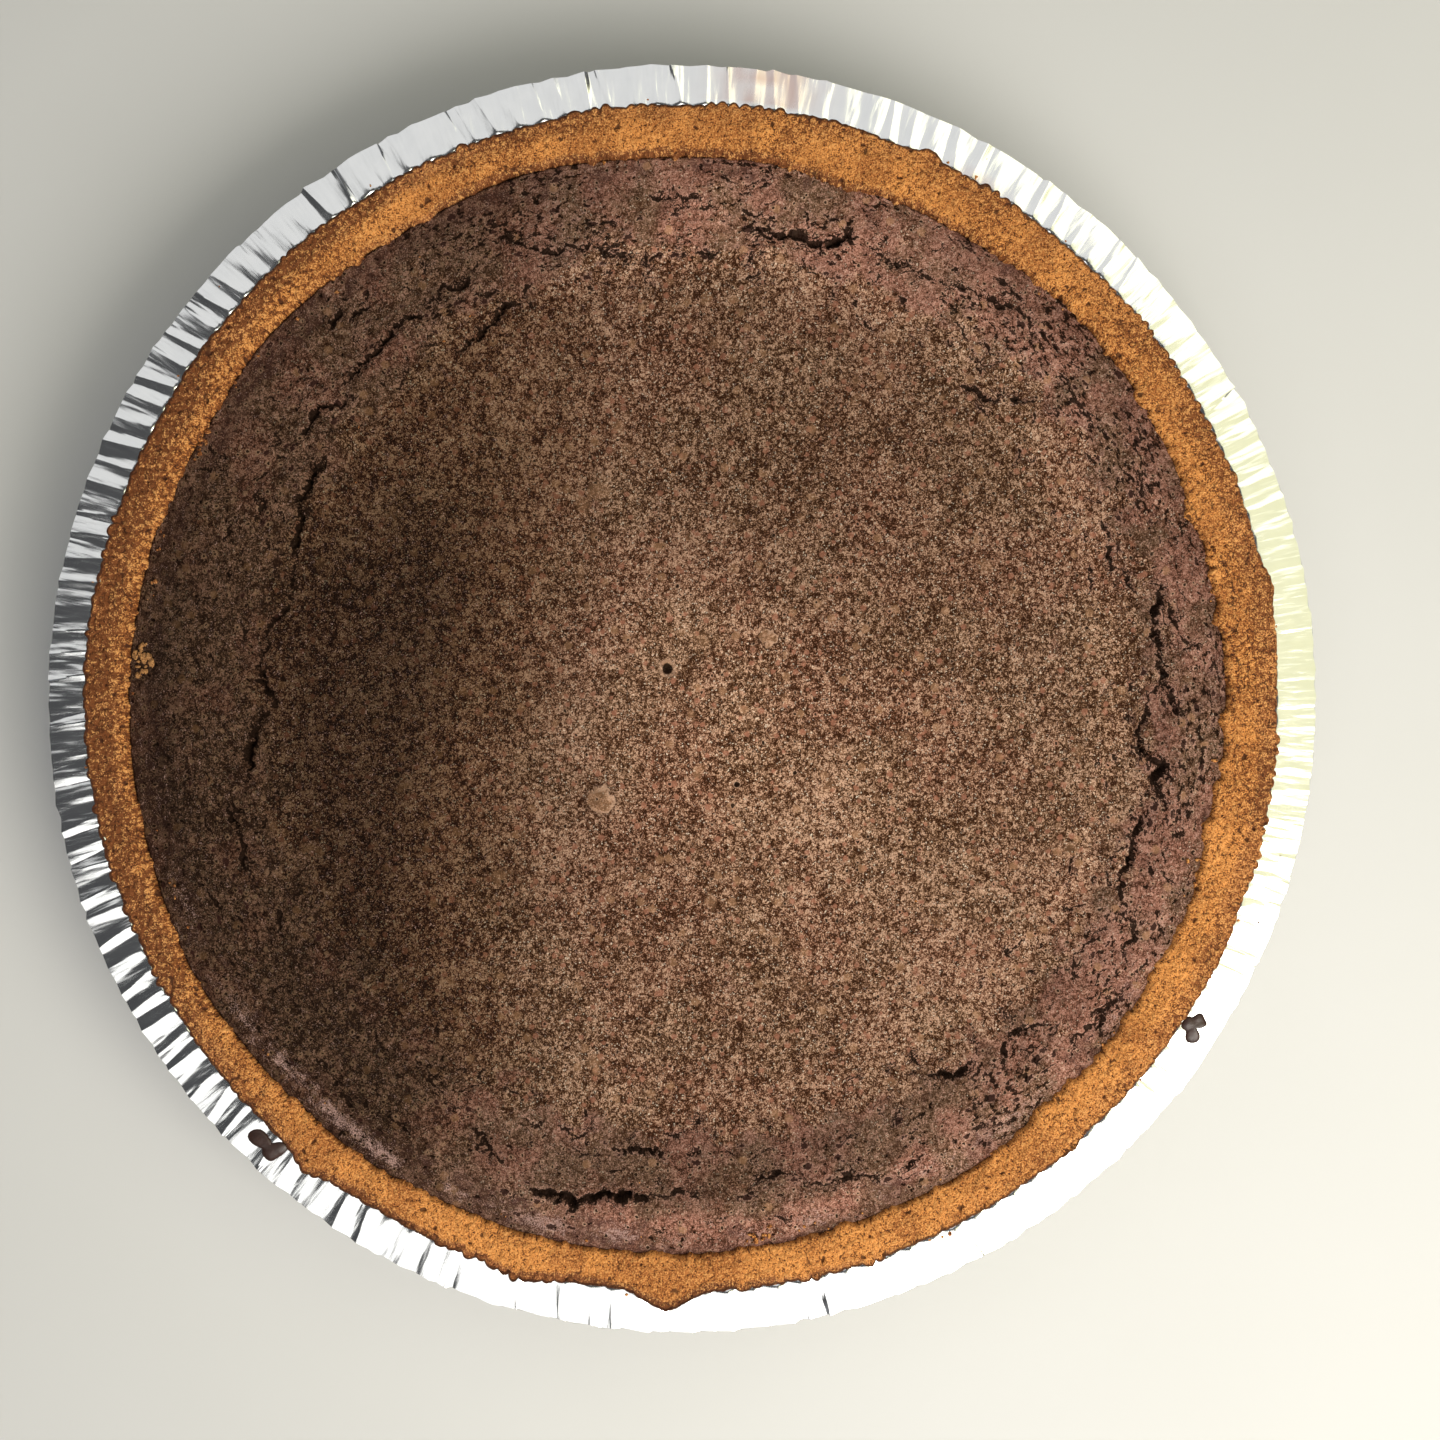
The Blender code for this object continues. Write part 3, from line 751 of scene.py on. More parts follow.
def flute_offset(angles):
    """How far the foil wall stands out from its middle radius at its top."""
    wall, heights = CREASES[0], CREASES[2]
    return FLUTE_DEPTH * np.interp(angles % TAU, wall, heights, period=TAU)


def flute_growth(height):
    """The flutes' share of their full depth at a height of the wall."""
    return 0.3 + 0.7 * smooth_step(1, 12, height)


def wall_radius(height):
    """Middle radius of the foil wall."""
    return BASE_RADIUS + (WALL_TOP_RADIUS - BASE_RADIUS) / RIM_HEIGHT * height


def foil_profile():
    """Rings from the heel to the lip: radius, height, shares of the flutes and of the pleats, and way.

    The way runs over the flange, from 0 at the wall's creases to 1 at the outer edge's.
    """
    rings = [(85.0, 0.0, 0, 0, 0), (87.0, 0.05, 0.05, 0, 0), (87.9, 0.45, 0.12, 0, 0), (88.5, 1.2, 0.2, 0, 0)]
    for height in (2.5, 5, 9, 14, 20, 25, 28.2):
        rings.append((wall_radius(height), height, flute_growth(height), 0, 0))
    rings += [(106.3, 29.1, 1, 0.2, 0), (106.5, 29.5, 0.7, 0.3, 0)]
    rings += [(106.7, 29.75, 0.4, 0.4, 0), (FLANGE_START, 29.87, 0.2, 0.5, 0)]
    for way in (0.07, 0.2, 0.38, 0.57, 0.78, 1.0):
        height = FLANGE_HEIGHT - FLANGE_FALL * way * way
        rings.append((FLANGE_START + FLANGE_WIDTH * way, height, 0.1, 1, way))
    rings += [(RIM_RADIUS, 29.5, 0, 0.9, 1), (RIM_RADIUS, 28.95, 0, 0.5, 1)]
    rings += [(RIM_RADIUS - 0.1, 28.85, 0, 0.3, 1), (RIM_RADIUS - 0.6, 28.8, 0, 0.2, 1)]
    return rings


def foil_stain(points):
    """Where juice has run over the flange, from 0 to 1."""
    x, y = points[:, 0], points[:, 1]
    radius, angle = np.hypot(x, y), np.arctan2(y, x)
    smear = turn_bell(angle, 82, 4.0) * smooth_step(107.6, 108.6, radius) * (0.6 + 0.4 * bumps(x, y, 2.0, 60))
    rusty = 0.35 * turn_bell(angle, 60, 2.5) * smooth_step(109.5, 107.8, radius)
    return np.clip(smear + rusty, 0, 1)


def make_foil(material):
    """The tin as a single sheet, which a modifier makes as thick as foil."""
    wall, edge, wall_height, edge_height, edge_reach, bulge, ridge = CREASES
    shares = np.tile(CREASE_SHARES, wall.size)
    curve = np.repeat(bulge, CREASE_SHARES.size) * 4 * shares * (1 - shares)
    curve += np.repeat(ridge, CREASE_SHARES.size) * (shares == 0)
    wall_angle, edge_angle = between(wall, TAU), between(edge, TAU)
    wall_line = between(wall_height) + curve * 0.3
    edge_shadow = between(edge_height) + curve
    reach = between(edge_reach)
    points, counts = [np.array([[0.0, 0.0, 0.0]])], [1]
    # The flat base, with its shallow raised ring: radius, height, points.
    base = [(30, 0, 64), (58, 0, 320), (76.5, 0, 320), (77.3, 0.5, 320), (79.5, 0.5, 320), (80.3, 0, 320)]
    for radius, height, count in base:
        points.append(round_points(radius, np.arange(count) * TAU / count + wall_angle[0], height))
        counts.append(count)
    for radius, height, outwards, upwards, way in foil_profile():
        angles = wall_angle * (1 - way) + edge_angle * way
        line = wall_line * (1 - way) + edge_shadow * way
        far = radius + FLUTE_DEPTH * wall_line * outwards + reach * (way == 1)
        dent = 0.15 * turn_bell(angles, 266.5, 1.6) * upwards
        pleats = PLEAT_HEIGHT * line * upwards * (1 - 0.8 * turn_bell(angles, 5, 45))
        points.append(round_points(far, angles, height + pleats + dent))
        counts.append(angles.size)
    points = np.concatenate(points)
    faces = [part[:, ::-1] for part in rings_mesh(counts)]
    foil = mesh_object("foil_tin_pleated", points, faces, material, {"stain": foil_stain(points)})
    foil.data.set_sharp_from_angle(angle=math.radians(40))
    solid = foil.modifiers.new("thickness", "SOLIDIFY")
    solid.thickness = FOIL * MM
    solid.offset = 1
    return foil


# Crumb crust.


def scallops(angles):
    """Rounded bumps from 0 to 1 between the creases of the foil, of uneven sizes."""
    creases = CREASES[0]
    sizes = generator(2).uniform(0.15, 1.3, creases.size)
    sizes *= 0.3 + 0.7 * smooth_step(-0.35, 0.35, bumps(16 * np.cos(creases), 16 * np.sin(creases), 2.1, 39))
    turned = (angles - creases[0]) % TAU + creases[0]
    place = np.searchsorted(creases, turned, side="right") - 1
    ends = np.append(creases, creases[0] + TAU)
    share = (turned - ends[place]) / (ends[place + 1] - ends[place])
    return sizes[place] * np.clip(4 * share * (1 - share), 0, 1) ** 0.7


def crust_edge(angles):
    """Radius of the crust's outer edge, scalloped by the foil, and how far it spills over the flange."""
    spill = turn_bells(angles, *SPILLS)
    x, y = CRUST_EDGE_RADIUS * np.cos(angles), CRUST_EDGE_RADIUS * np.sin(angles)
    wander = 0.25 * bumps(x, y, 9.0, 31) + 0.12 * bumps(x, y, 1.1, 32)
    reach = turn_bells(angles, *REACHES)
    return CRUST_EDGE_RADIUS + 0.9 * scallops(angles) - 0.4 + reach + spill + wander, spill


def crust_inner_edge(angles):
    """Where the crust meets the filling: ragged, and in places it juts in over the filling."""
    x, y = EDGE_RADIUS * np.cos(angles), EDGE_RADIUS * np.sin(angles)
    ragged = 0.6 * bumps(x, y, 1.4, 33) + 0.5 * bumps(x, y, 3.6, 34) + 0.35 * bumps(x, y, 0.7, 35)
    deeper = 0.7 + 0.4 * (0.55 + 0.45 * np.cos(angles - 0.2))
    juts = turn_bells(angles, *JUTS)
    return filling_edge(angles) + 0.1 - juts - np.clip(ragged + 0.15, -0.1, 1.2) * deeper


def crust_relief(x, y, grainy):
    """Height of the crumb texture, and how deep each point lies in a pit or seam, for the painted shade
    there.
    """
    warp_x = x + 0.45 * bumps(x, y, 1.1, 55)
    warp_y = y + 0.45 * bumps(x, y, 1.1, 56)
    height = 0.36 * fractal(x, y, 6.5, 41)
    clump_first, clump_second, clump = cells(warp_x, warp_y, 2.3, 45)
    grain_first, grain_second, grain = cells(warp_x, warp_y, 1.15, 48)
    height += 0.16 * (clump - 0.5) - 0.12 * clump_first**2
    height += grainy * (0.24 * (grain - 0.5) - 0.34 * grain_first**2)
    pit_first, _, pit_number = cells(warp_x, warp_y, 1.9, 51)
    pits = smooth_step(0.27, 0.1, pit_first) * (pit_number > 0.93)
    seams = smooth_step(0.14, 0.0, clump_second - clump_first) * (clump > 0.6)
    grooves = smooth_step(0.2, 0.02, grain_second - grain_first) * smooth_step(0.3, 0.9, grain * grainy)
    height -= 0.45 * pits + 0.25 * seams + 0.2 * grooves
    return height, np.clip(pits + 0.7 * seams + 0.6 * grooves, 0, 1)


def crust_bake_and_shade(x, y, angles, from_edge, from_filling):
    """How brown and how grainy the crust's top is, and the painted shadow in the gap between it and the foil.
    """
    # The bearings where the crust is browner or lighter mix baking with painted light and shade: darker on
    # the left, lighter at the bottom, the top and the right.
    dark_edge, dark_top = turn_bell(angles, 170, 34), turn_bell(angles, 192, 36)
    right_edge, bottom = turn_bell(angles, 5, 60), turn_bell(angles, 250, 42)
    wander = 0.9 * bumps(x, y, 5.0, 36) + 0.5 * bumps(x, y, 1.6, 38)
    brown_width = 5.5 + 2.0 * dark_edge + 0.3 * right_edge
    baked_and_shaded = 1 - smooth_step(1.0 + 1.8 * right_edge, brown_width, from_edge + wander)
    light_edge = np.maximum(turn_bell(angles, 268, 48), turn_bell(angles, 88, 25))
    lighter = 0.35 * light_edge + turn_bells(angles, (0.2, 5, 60), (0.3, 50, 28), (0.2, 300, 40))
    baked_and_shaded = np.clip(baked_and_shaded * (0.85 + 0.6 * dark_edge - lighter) + 0.42 * dark_top, 0, 1.3)
    # Browner next to the filling at the top: painted shade where the crust meets the filling.
    baked_and_shaded = np.maximum(baked_and_shaded, 1.3 * smooth_step(2.3, 0.2, from_filling) * turn_bell(angles, 90, 38))
    brown_line = 1.3 * smooth_step(2.3, 0.7, from_edge + 0.5 * wander) * bottom
    baked_and_shaded = np.maximum(baked_and_shaded * (1 - 0.6 * bottom), brown_line)
    grainy = 0.25 + 0.7 * np.maximum(dark_edge, dark_top) + 0.25 * right_edge + 0.4 * baked_and_shaded
    grainy = np.clip(grainy + 0.3 * bumps(x, y, 8.0, 37), 0.05, 1.0) * (1 - 0.5 * bottom)
    return baked_and_shaded, grainy, (0.85 - 0.5 * right_edge) * smooth_step(0.8, 0.15, from_edge)


def make_crust(material):
    """A closed cup, ring by ring: up its outside, over the top to the filling, and down its inside."""
    angles = np.arange(CRUST_COLUMNS) * TAU / CRUST_COLUMNS
    outer, spill = crust_edge(angles)
    inner = crust_inner_edge(angles)
    rise, fall = filling_zones(inner, angles, filling_edge(angles))
    foot = filling_height(inner * np.cos(angles), inner * np.sin(angles), rise, fall)
    foot += FILLING_RIM_LIFT - 0.4
    points, counts = [], []
    attributes = {"bake_and_shade": [], "hollow_shade": [], "grainy": []}

    def add(radius, height, step, baked_and_shaded=1.0, deep=0.0, grain=1.0):
        chosen = angles[::step]
        points.append(round_points(radius, chosen, height))
        counts.append(chosen.size)
        for rows, values in zip(attributes.values(), (baked_and_shaded, deep, grain)):
            rows.append(np.broadcast_to(values, chosen.shape))

    add(0.0, CRUST_BASE, CRUST_COLUMNS)
    add(CRUST_CORE_RADIUS, CRUST_BASE, CRUST_CORE_STEP)
    # The wall stays inside the foil, and turns out over the foil's shoulder on to the flange.
    step = CRUST_WALL_STEP
    flutes = flute_offset(angles[::step])
    for height in (CRUST_BASE, 1.4):
        add(wall_radius(height) - CRUST_INSET, height, step)
    for height in (4.0, 10.0, 20.0):
        add(wall_radius(height) - CRUST_INSET + flute_growth(height) * flutes * 0.9, height, step)
    shoulder = [(105.7, 28.0, 0.9), (105.9, 29.1, 0.9), (106.2, 29.7, 0.5), (106.6, 29.97, 0.2)]
    for radius, height, share in shoulder:
        add(radius + share * flutes, height, step)
    add(outer - 0.1, RIM_HEIGHT, 1)
    # The top runs from the outer edge over the crest to the filling.
    crest = (CRUST_CREST_RADIUS - inner) / (outer - inner)
    edge_height = CRUST_EDGE_HEIGHT + 0.75 * np.clip(spill, 0, 1)
    for place in range(CRUST_TOP_RINGS + 1):
        share = place / CRUST_TOP_RINGS
        radius = outer * (1 - share) + inner * share
        x, y = radius * np.cos(angles), radius * np.sin(angles)
        rising = np.sqrt(np.clip(1 - ((share - (1 - crest)) / (1 - crest)) ** 2, 0, 1))
        way_down = np.clip((share - (1 - crest)) / crest, 0, 1)
        falling = 1 - 0.42 * way_down - 0.58 * way_down**12
        up = edge_height + (CRUST_CREST_HEIGHT - edge_height) * rising
        down = foot + (CRUST_CREST_HEIGHT - foot) * falling
        smooth = np.where(share < 1 - crest, up, down)
        # The last value is the painted shadow between the crust and the foil.
        baked_and_shaded, grainy, gaps = crust_bake_and_shade(x, y, angles, outer - radius, radius - inner)
        relief, deep = crust_relief(x, y, grainy)
        fade = 0.35 + 0.65 * math.sin(math.pi * min(share * 3, 0.5))
        outward = max(0.0, 0.35 - share * 3)
        add(radius + relief * outward, smooth + relief * fade, 1, baked_and_shaded, np.clip(deep + gaps, 0, 1), grainy)
    # The inside, under the filling.
    edge = filling_edge(angles[::step])
    add(inner + 0.2, 25.0, 1, 0.0)
    add(edge - 1.5, 22.0, step, 0.0)
    add(edge / EDGE_RADIUS * FILLING_FLOOR_RADIUS + 0.4, CRUST_FLOOR_TOP, step, 0.0)
    add(CRUST_CORE_RADIUS, CRUST_FLOOR_TOP, CRUST_CORE_STEP, 0.0)
    add(0.0, CRUST_FLOOR_TOP, CRUST_COLUMNS, 0.0)
    points = np.concatenate(points)
    around = np.arctan2(points[:, 1], points[:, 0])
    attributes = {name: np.concatenate(rows) for name, rows in attributes.items()}
    tint_and_shade = fractal(points[:, 0], points[:, 1], 5.0, 114)
    # Deeper on the left and lighter at the lower right: painted shade and painted light over the random tint.
    tint_and_shade += turn_bells(around, (-0.25, 318, 35), (0.4, 170, 32))
    attributes["tint_and_shade"] = smooth_step(-0.4, 0.4, tint_and_shade)
    attributes["cracked"] = np.clip(0.1 + turn_bells(around, (0.9, 8, 50), (0.5, 190, 60)), 0, 1)
    return mesh_object("crumb_crust_baked", points, rings_mesh(counts), material, attributes)


# Filling.


def jagged(points, rng, roughness):
    """Splits the steps of a route in two again and again, each time pushing the new points aside."""
    for _ in range(CRACK_SPLITS):
        along = points[1:] - points[:-1]
        across = np.stack([-along[:, 1], along[:, 0]], 1)
        middle = (points[1:] + points[:-1]) / 2 + across * rng.normal(0, roughness, len(along))[:, None]
        merged = np.empty((len(points) + len(middle), 2))
        merged[0::2], merged[1::2] = points, middle
        points = merged
    return points


def crack_routes(rng):
    """Every crack as a width and its points: the long ones, their side branches, and short loose ones."""
    routes = []
    for width, route in CRACKS:
        degrees, radii = np.array(route).T
        angles = np.radians(degrees)
        points = np.stack([radii * np.cos(angles), radii * np.sin(angles)], 1)
        routes.append((0.82 * width, points))
        steps = np.diff(points, axis=0)
        length = np.hypot(*steps.T).sum()
        for _ in range(int(length / 3.5)):
            place = rng.integers(len(steps))
            start = points[place] + steps[place] * rng.random()
            heading = math.atan2(steps[place][1], steps[place][0])
            heading += rng.choice((-1, 1)) * rng.uniform(0.6, 1.5)
            reach = rng.uniform(0.7, 2.6)
            tip = start + reach * np.array([math.cos(heading), math.sin(heading)])
            routes.append((rng.uniform(0.2, 0.45), np.array([start, (start + tip) / 2, tip])))
    for _ in range(SMALL_CRACKS):
        angle, radius = rng.uniform(0, TAU), rng.uniform(75, 97)
        length = rng.uniform(1.2, 4.5)
        heading = angle + math.pi / 2 + rng.normal(0, 0.8)
        start = radius * np.array([math.cos(angle), math.sin(angle)])
        way = np.array([math.cos(heading), math.sin(heading)]) * length / 2
        bend = start / radius * rng.normal(0, 0.15) * length
        routes.append((rng.uniform(0.2, 0.48), np.array([start - way, start + bend, start + way])))
    return routes


def crack_samples():
    """Points along every crack, with half width, depth and the way towards the rim."""
    rng = generator(3)
    samples = []
    for width, points in crack_routes(rng):
        points = jagged(points, rng, CRACK_ROUGHNESS)
        along = np.gradient(points, axis=0)
        normal = np.stack([along[:, 1], -along[:, 0]], 1)
        normal /= np.linalg.norm(normal, axis=1)[:, None] + 1e-9
        normal *= np.where((normal * points).sum(1) < 0, -1, 1)[:, None]
        share = np.linspace(0, 1, len(points))
        ways = max(4, len(points) // 12)
        swell = np.interp(share, np.linspace(0, 1, ways), rng.uniform(0.35, 1.15, ways))
        half = np.clip(width / 2 * swell * np.sin(math.pi * share) ** 0.35, 0.03, None)
        depth = np.clip(half * 3.5, 0.1, 2.4)
        samples.append(np.column_stack([points, half, depth, normal]))
    return np.concatenate(samples)


def crack_field(x, y):
    """For each point, the signed distance to the nearest crack, its half width and depth there."""
    samples = crack_samples()
    tree = kdtree.KDTree(len(samples))
    for place, sample in enumerate(samples):
        tree.insert((sample[0], sample[1], 0), place)
    tree.balance()
    nearest = np.zeros(x.shape, int)
    for place, point in enumerate(zip(x, y)):
        nearest[place] = tree.find((*point, 0))[1]
    near = samples[nearest]
    away_x, away_y = x - near[:, 0], y - near[:, 1]
    away = np.hypot(away_x, away_y)
    side = np.where(away_x * near[:, 4] + away_y * near[:, 5] < 0, -away, away)
    return side, near[:, 2], near[:, 3]


def filling_shade(x, y, radii, angles, rise, fall):
    """The painted light and shade of the filling: how light its colour is at each point, and how far the
    point is on the left side, which is painted darker.
    """
    painted_shade_side = smooth_step(0, 55, -0.98 * x + 0.12 * y + 15 * fractal(x, y, 34.0, 91, 5))
    shade = 1 - 0.78 * painted_shade_side
    shade *= 1 - (0.13 + 0.12 * turn_bell(angles, 70, 45)) * (1 - rise) * smooth_step(12, 30, radii)
    shade *= 1 + rise * turn_bells(angles, (0.4, 112, 45), (0.4, 195, 42))
    shade *= 1 + 0.95 * turn_bell(angles, 132, 26) * smooth_step(48, 74, radii)
    shade *= 1 - 0.25 * fall * turn_bell(angles, 30, 40)
    # A painted pool of light to the lower right of the middle.
    painted_light_pool = 0.3 * np.exp(-((x - 24) ** 2 + (y + 16) ** 2) / 34**2)
    shade *= 1 + painted_light_pool + 0.2 * bell(radii, 79, 5) * turn_bell(angles, 20, 70)
    for amount, radius, breadth, degrees, width in SHADE_PATCHES:
        shade *= 1 + amount * bell(radii, radius, breadth) * turn_bell(angles, degrees, width)
    return shade, painted_shade_side


def filling_painted_sheen(x, y, angles, from_edge):
    """A painted sheen: a silky highlight line near the filling's lower edge, broken in places."""
    line = bell(from_edge, 3.0 + 0.6 * bumps(x, y, 9.0, 119), 1.7)
    line *= smooth_step(-0.5, 0.6, bumps(x, y, 6.0, 115) + 0.4 * bumps(x, y, 2.0, 116))
    strength = turn_bells(angles, (1.0, 232, 27), (0.7, 275, 18), (0.55, 312, 25), (0.5, 255, 9))
    return line * np.clip(strength, 0, 1.1)


def filling_relief(x, y, radii, angles, rise, fall):
    """Cracks, pores and grain on top of the solid's own form, and the attributes that colour them."""
    side, half, depth = crack_field(x, y)
    away = np.abs(side)
    gap = np.clip(away - half, 0, None)
    inside = np.clip(1 - (away / np.maximum(half, 0.05)) ** 2, 0, 1)
    bold = smooth_step(0.14, 0.5, half)
    height = -depth * inside - 0.3 * bold * np.exp(-gap / 0.7)
    height += bold * np.exp(-gap / 2.2) * np.where(side > 0, 0.42, -0.22)
    right = 0.5 + 0.5 * np.cos(angles - math.radians(25))
    puckers = np.abs(fractal(x, y, 4.2, 71, 2)) - 0.25
    rough = rise * (1 - 0.6 * fall)
    height += rough * (0.32 * fractal(x, y, 6.0, 74) - (0.6 + 0.6 * right) * puckers)
    # Painted shade in the valleys between the puckers.
    shaded_valley = rise * (0.35 + 0.65 * right) * smooth_step(0.15, 0.6, puckers)
    warp_x = x + 0.6 * bumps(x, y, 1.3, 86)
    warp_y = y + 0.6 * bumps(x, y, 1.3, 87)
    pore_first, _, pore = cells(warp_x, warp_y, 3.3, 77)
    pores = smooth_step(1.0, 0.35, pore_first / (0.05 + 0.22 * (pore - 0.6))) * (pore > 0.62)
    pores *= smooth_step(0.3, 0.8, rise)
    height -= 0.9 * pores
    grain_first, _, grain = cells(warp_x, warp_y, 1.3, 80)
    middle = 1 - 0.6 * rise
    height += middle * (0.2 * (grain - 0.5) - 0.16 * grain_first**2 + 0.16 * bumps(x, y, 2.9, 83))
    height += 0.09 * bumps(x, y, 0.9, 84)
    # Attributes for the material.
    shade, painted_shade_side = filling_shade(x, y, radii, angles, rise, fall)
    from_edge = filling_edge(angles) - radii
    # Painted shade: a smooth dark band on the slope from the ring down to the crust, most on the left, and a
    # painted shadow along the lower left edge.
    left = smooth_step(10, -50, x) + 0.6 * turn_bell(angles, 95, 22)
    patchy = fractal(x, y, 9.0, 93, 3) + 0.5 * bumps(x, y, 2.5, 90) + 0.65 * left
    shaded_band = smooth_step(0.1, 0.4, fall) * smooth_step(0.25, 0.7, patchy)
    edge_shadow = smooth_step(2.0, 0.7, from_edge + 0.5 * bumps(x, y, 3.0, 118)) * turn_bell(angles, 250, 55)
    # Pinker where the painted shade is lighter: the lit side is painted pinker than the shaded one.
    pink = fractal(x, y, 7.0, 100, 4) + 0.25 * (shade - 0.8) + 0.25 * turn_bell(angles, 65, 55)
    porous = rise * smooth_step(-0.8, 0.4, bumps(x, y, 7.0, 117))
    porous *= 0.35 + 0.65 * smooth_step(-60, 20, x + 0.6 * y)
    porous *= 1 + 0.15 * turn_bell(angles, 45, 50)
    olive_or_red = fractal(x, y, 12.0, 105, 4) + 0.35 * painted_shade_side * (1 - rise)
    drift = 0.3 * fractal(x, y, 22.0, 109, 4) + 0.25 * bumps(x, y, 3.2, 113)
    attributes = {
        "crack_side": side,
        "crack_half": half * smooth_step(2.4, 1.4, away),
        "pit": pores,
        "skin": np.clip(rise + 0.5 * bumps(x, y, 4.0, 104), 0, 1),
        "shade": shade,
        "shaded_band": np.clip(np.maximum(shaded_band, edge_shadow), 0, 1),
        "shaded_valley": shaded_valley,
        "pinkness": smooth_step(-0.2, 0.4, pink),
        "painted_sheen": filling_painted_sheen(x, y, angles, from_edge),
        "porous": porous,
        "patch": smooth_step(-0.4, 0.4, olive_or_red),
        "drift": drift + 0.3 * painted_shade_side * rise * fall,
    }
    return height, attributes


def spot_relief(x, y):
    """Heights of the spots and holes, and how pale the smaller spots are that lie all over the middle."""
    rng = generator(6)
    spots = [(*spot, 0.0) for spot in SPOTS]
    for _ in range(SMALL_SPOTS):
        angle, radius = rng.uniform(0, TAU), SPOTTED_RADIUS * math.sqrt(rng.random())
        place = (radius * math.cos(angle), radius * math.sin(angle))
        size = rng.uniform(0.5, 1.4)
        spots.append((place, size, 0.22 * size, rng.uniform(0.3, 0.9)))
    height, pale = np.zeros(x.shape), np.zeros(x.shape)
    warp_x = x + 0.5 * bumps(x, y, 1.6, 95)
    warp_y = y + 0.5 * bumps(x, y, 1.6, 96)
    for (cx, cy), radius, rise, paleness in spots:
        away = np.hypot(warp_x - cx, warp_y - cy)
        height += rise * np.clip(1 - (away / radius) ** 2, 0, 1)
        pale = np.maximum(pale, paleness * smooth_step(1.15, 0.8, away / radius))
    for (cx, cy), radius, wall in HOLES:
        away = np.hypot(x - cx, y - cy)
        height += 0.5 * wall * bell(away, radius + 0.5 * wall, 0.4 * wall)
        height -= 0.9 * radius * bell(away, 0, radius)
    return height, pale


def make_filling(material):
    """A closed body, ring by ring: its floor from the middle outwards, then its top from the edge inwards."""
    floor = FILLING_FLOOR_RADIUS / EDGE_RADIUS
    shares, counts = [0.0, floor * 0.5, floor], [1, 64, 384]
    below = sum(counts)
    # Zones of the top: from and to a share of the edge's radius, rings, points in each ring.
    zones = [(1.0, 0.70, 63, 1152), (0.70, 0.34, 34, 384), (0.34, 0.11, 20, 192), (0.11, 0.01, 9, 64)]
    for start, end, rings, count in zones:
        for place in range(rings):
            shares.append(start + (end - start) * place / rings)
            counts.append(count)
    shares.append(0.0)
    counts.append(1)
    angles = np.concatenate([np.arange(count) * TAU / count for count in counts])
    fractions = np.concatenate([np.full(count, share) for share, count in zip(shares, counts)])
    edges = filling_edge(angles)
    radii = fractions * edges
    x, y = radii * np.cos(angles), radii * np.sin(angles)
    rise, fall = filling_zones(radii, angles, edges)
    height = filling_height(x, y, rise, fall)
    relief, attributes = filling_relief(x, y, radii, angles, rise, fall)
    spots, attributes["mark"] = spot_relief(x, y)
    height += relief + spots + FILLING_RIM_LIFT * fall
    height[:below] = FILLING_BASE
    points = round_points(radii, angles, height)
    return mesh_object("chocolate_filling_baked", points, rings_mesh(counts), material, attributes)


# Splashes on the flange and loose crumbs.


def around_point(degrees, radius):
    angle = math.radians(degrees)
    return np.array([radius * math.cos(angle), radius * math.sin(angle)])


# Each splash as lobes that have run together: bearing, distance from the axis, radius of the lobe.
SPLASHES = {
    "splash_right": [(-33.5, 110.2, 1.5), (-31.9, 110.0, 1.3), (-32.8, 108.4, 1.4)],
    "splash_left": [(226.0, 110.0, 1.7), (227.9, 110.3, 1.7), (228.3, 108.6, 1.3)],
}
# A splash from its middle underneath to its middle on top: share of the radius, share of the height.
SPLASH_PROFILE = [
    *[(0.0, -0.2), (0.9, -0.2), (1.0, 0.15), (0.98, 0.4)],
    *[(0.9, 0.65), (0.75, 0.85), (0.5, 0.97), (0.25, 1.0), (0.0, 1.0)],
]
SPLASH_HEIGHT = 0.85
SPLASH_COLUMNS = 48


def make_splash(name, material, rng):
    """A flat drop of several lobes that has run together and set."""
    angles = np.arange(SPLASH_COLUMNS) * TAU / SPLASH_COLUMNS
    lobes = [(around_point(degrees, distance), radius) for degrees, distance, radius in SPLASHES[name]]
    centre = np.mean([place for place, _ in lobes], axis=0)
    outline = np.zeros(angles.size)
    for place, radius in lobes:
        ways = np.stack([np.cos(angles), np.sin(angles)], 1)
        along = ways @ (place - centre)
        off = np.linalg.norm(place - centre) ** 2 - along**2
        outline = np.maximum(outline, along + np.sqrt(np.clip(radius**2 - off, 0, None)))
    shift = rng.uniform(0, 50)
    outline *= 1 + 0.2 * bumps(2 * np.cos(angles) + shift, 2 * np.sin(angles), 1.1, 98)
    outline = (outline + np.roll(outline, 1) + np.roll(outline, -1)) / 3
    rings, counts = [], []
    for share, lift in SPLASH_PROFILE:
        count = 1 if share == 0 else angles.size
        height = RIM_HEIGHT - 0.35 + SPLASH_HEIGHT * lift
        rings.append(round_points(outline[:count] * share, angles[:count], height) + (*centre, 0))
        counts.append(count)
    points = np.concatenate(rings)
    points[:, 2] += 0.08 * bumps(points[:, 0], points[:, 1], 1.1, 90)
    return mesh_object(name, points, rings_mesh(counts), material)


def make_splashes(material):
    rng = generator(5)
    return [make_splash(name, material, rng) for name in SPLASHES]


def crumb_shape():
    """Points and triangles of a ball that every crumb is knocked out of shape from."""
    bm = bmesh.new()
    bmesh.ops.create_icosphere(bm, subdivisions=3, radius=1.0)
    points = np.array([vertex.co for vertex in bm.verts])
    faces = np.array([[vertex.index for vertex in face.verts] for face in bm.faces])
    bm.free()
    return points, faces


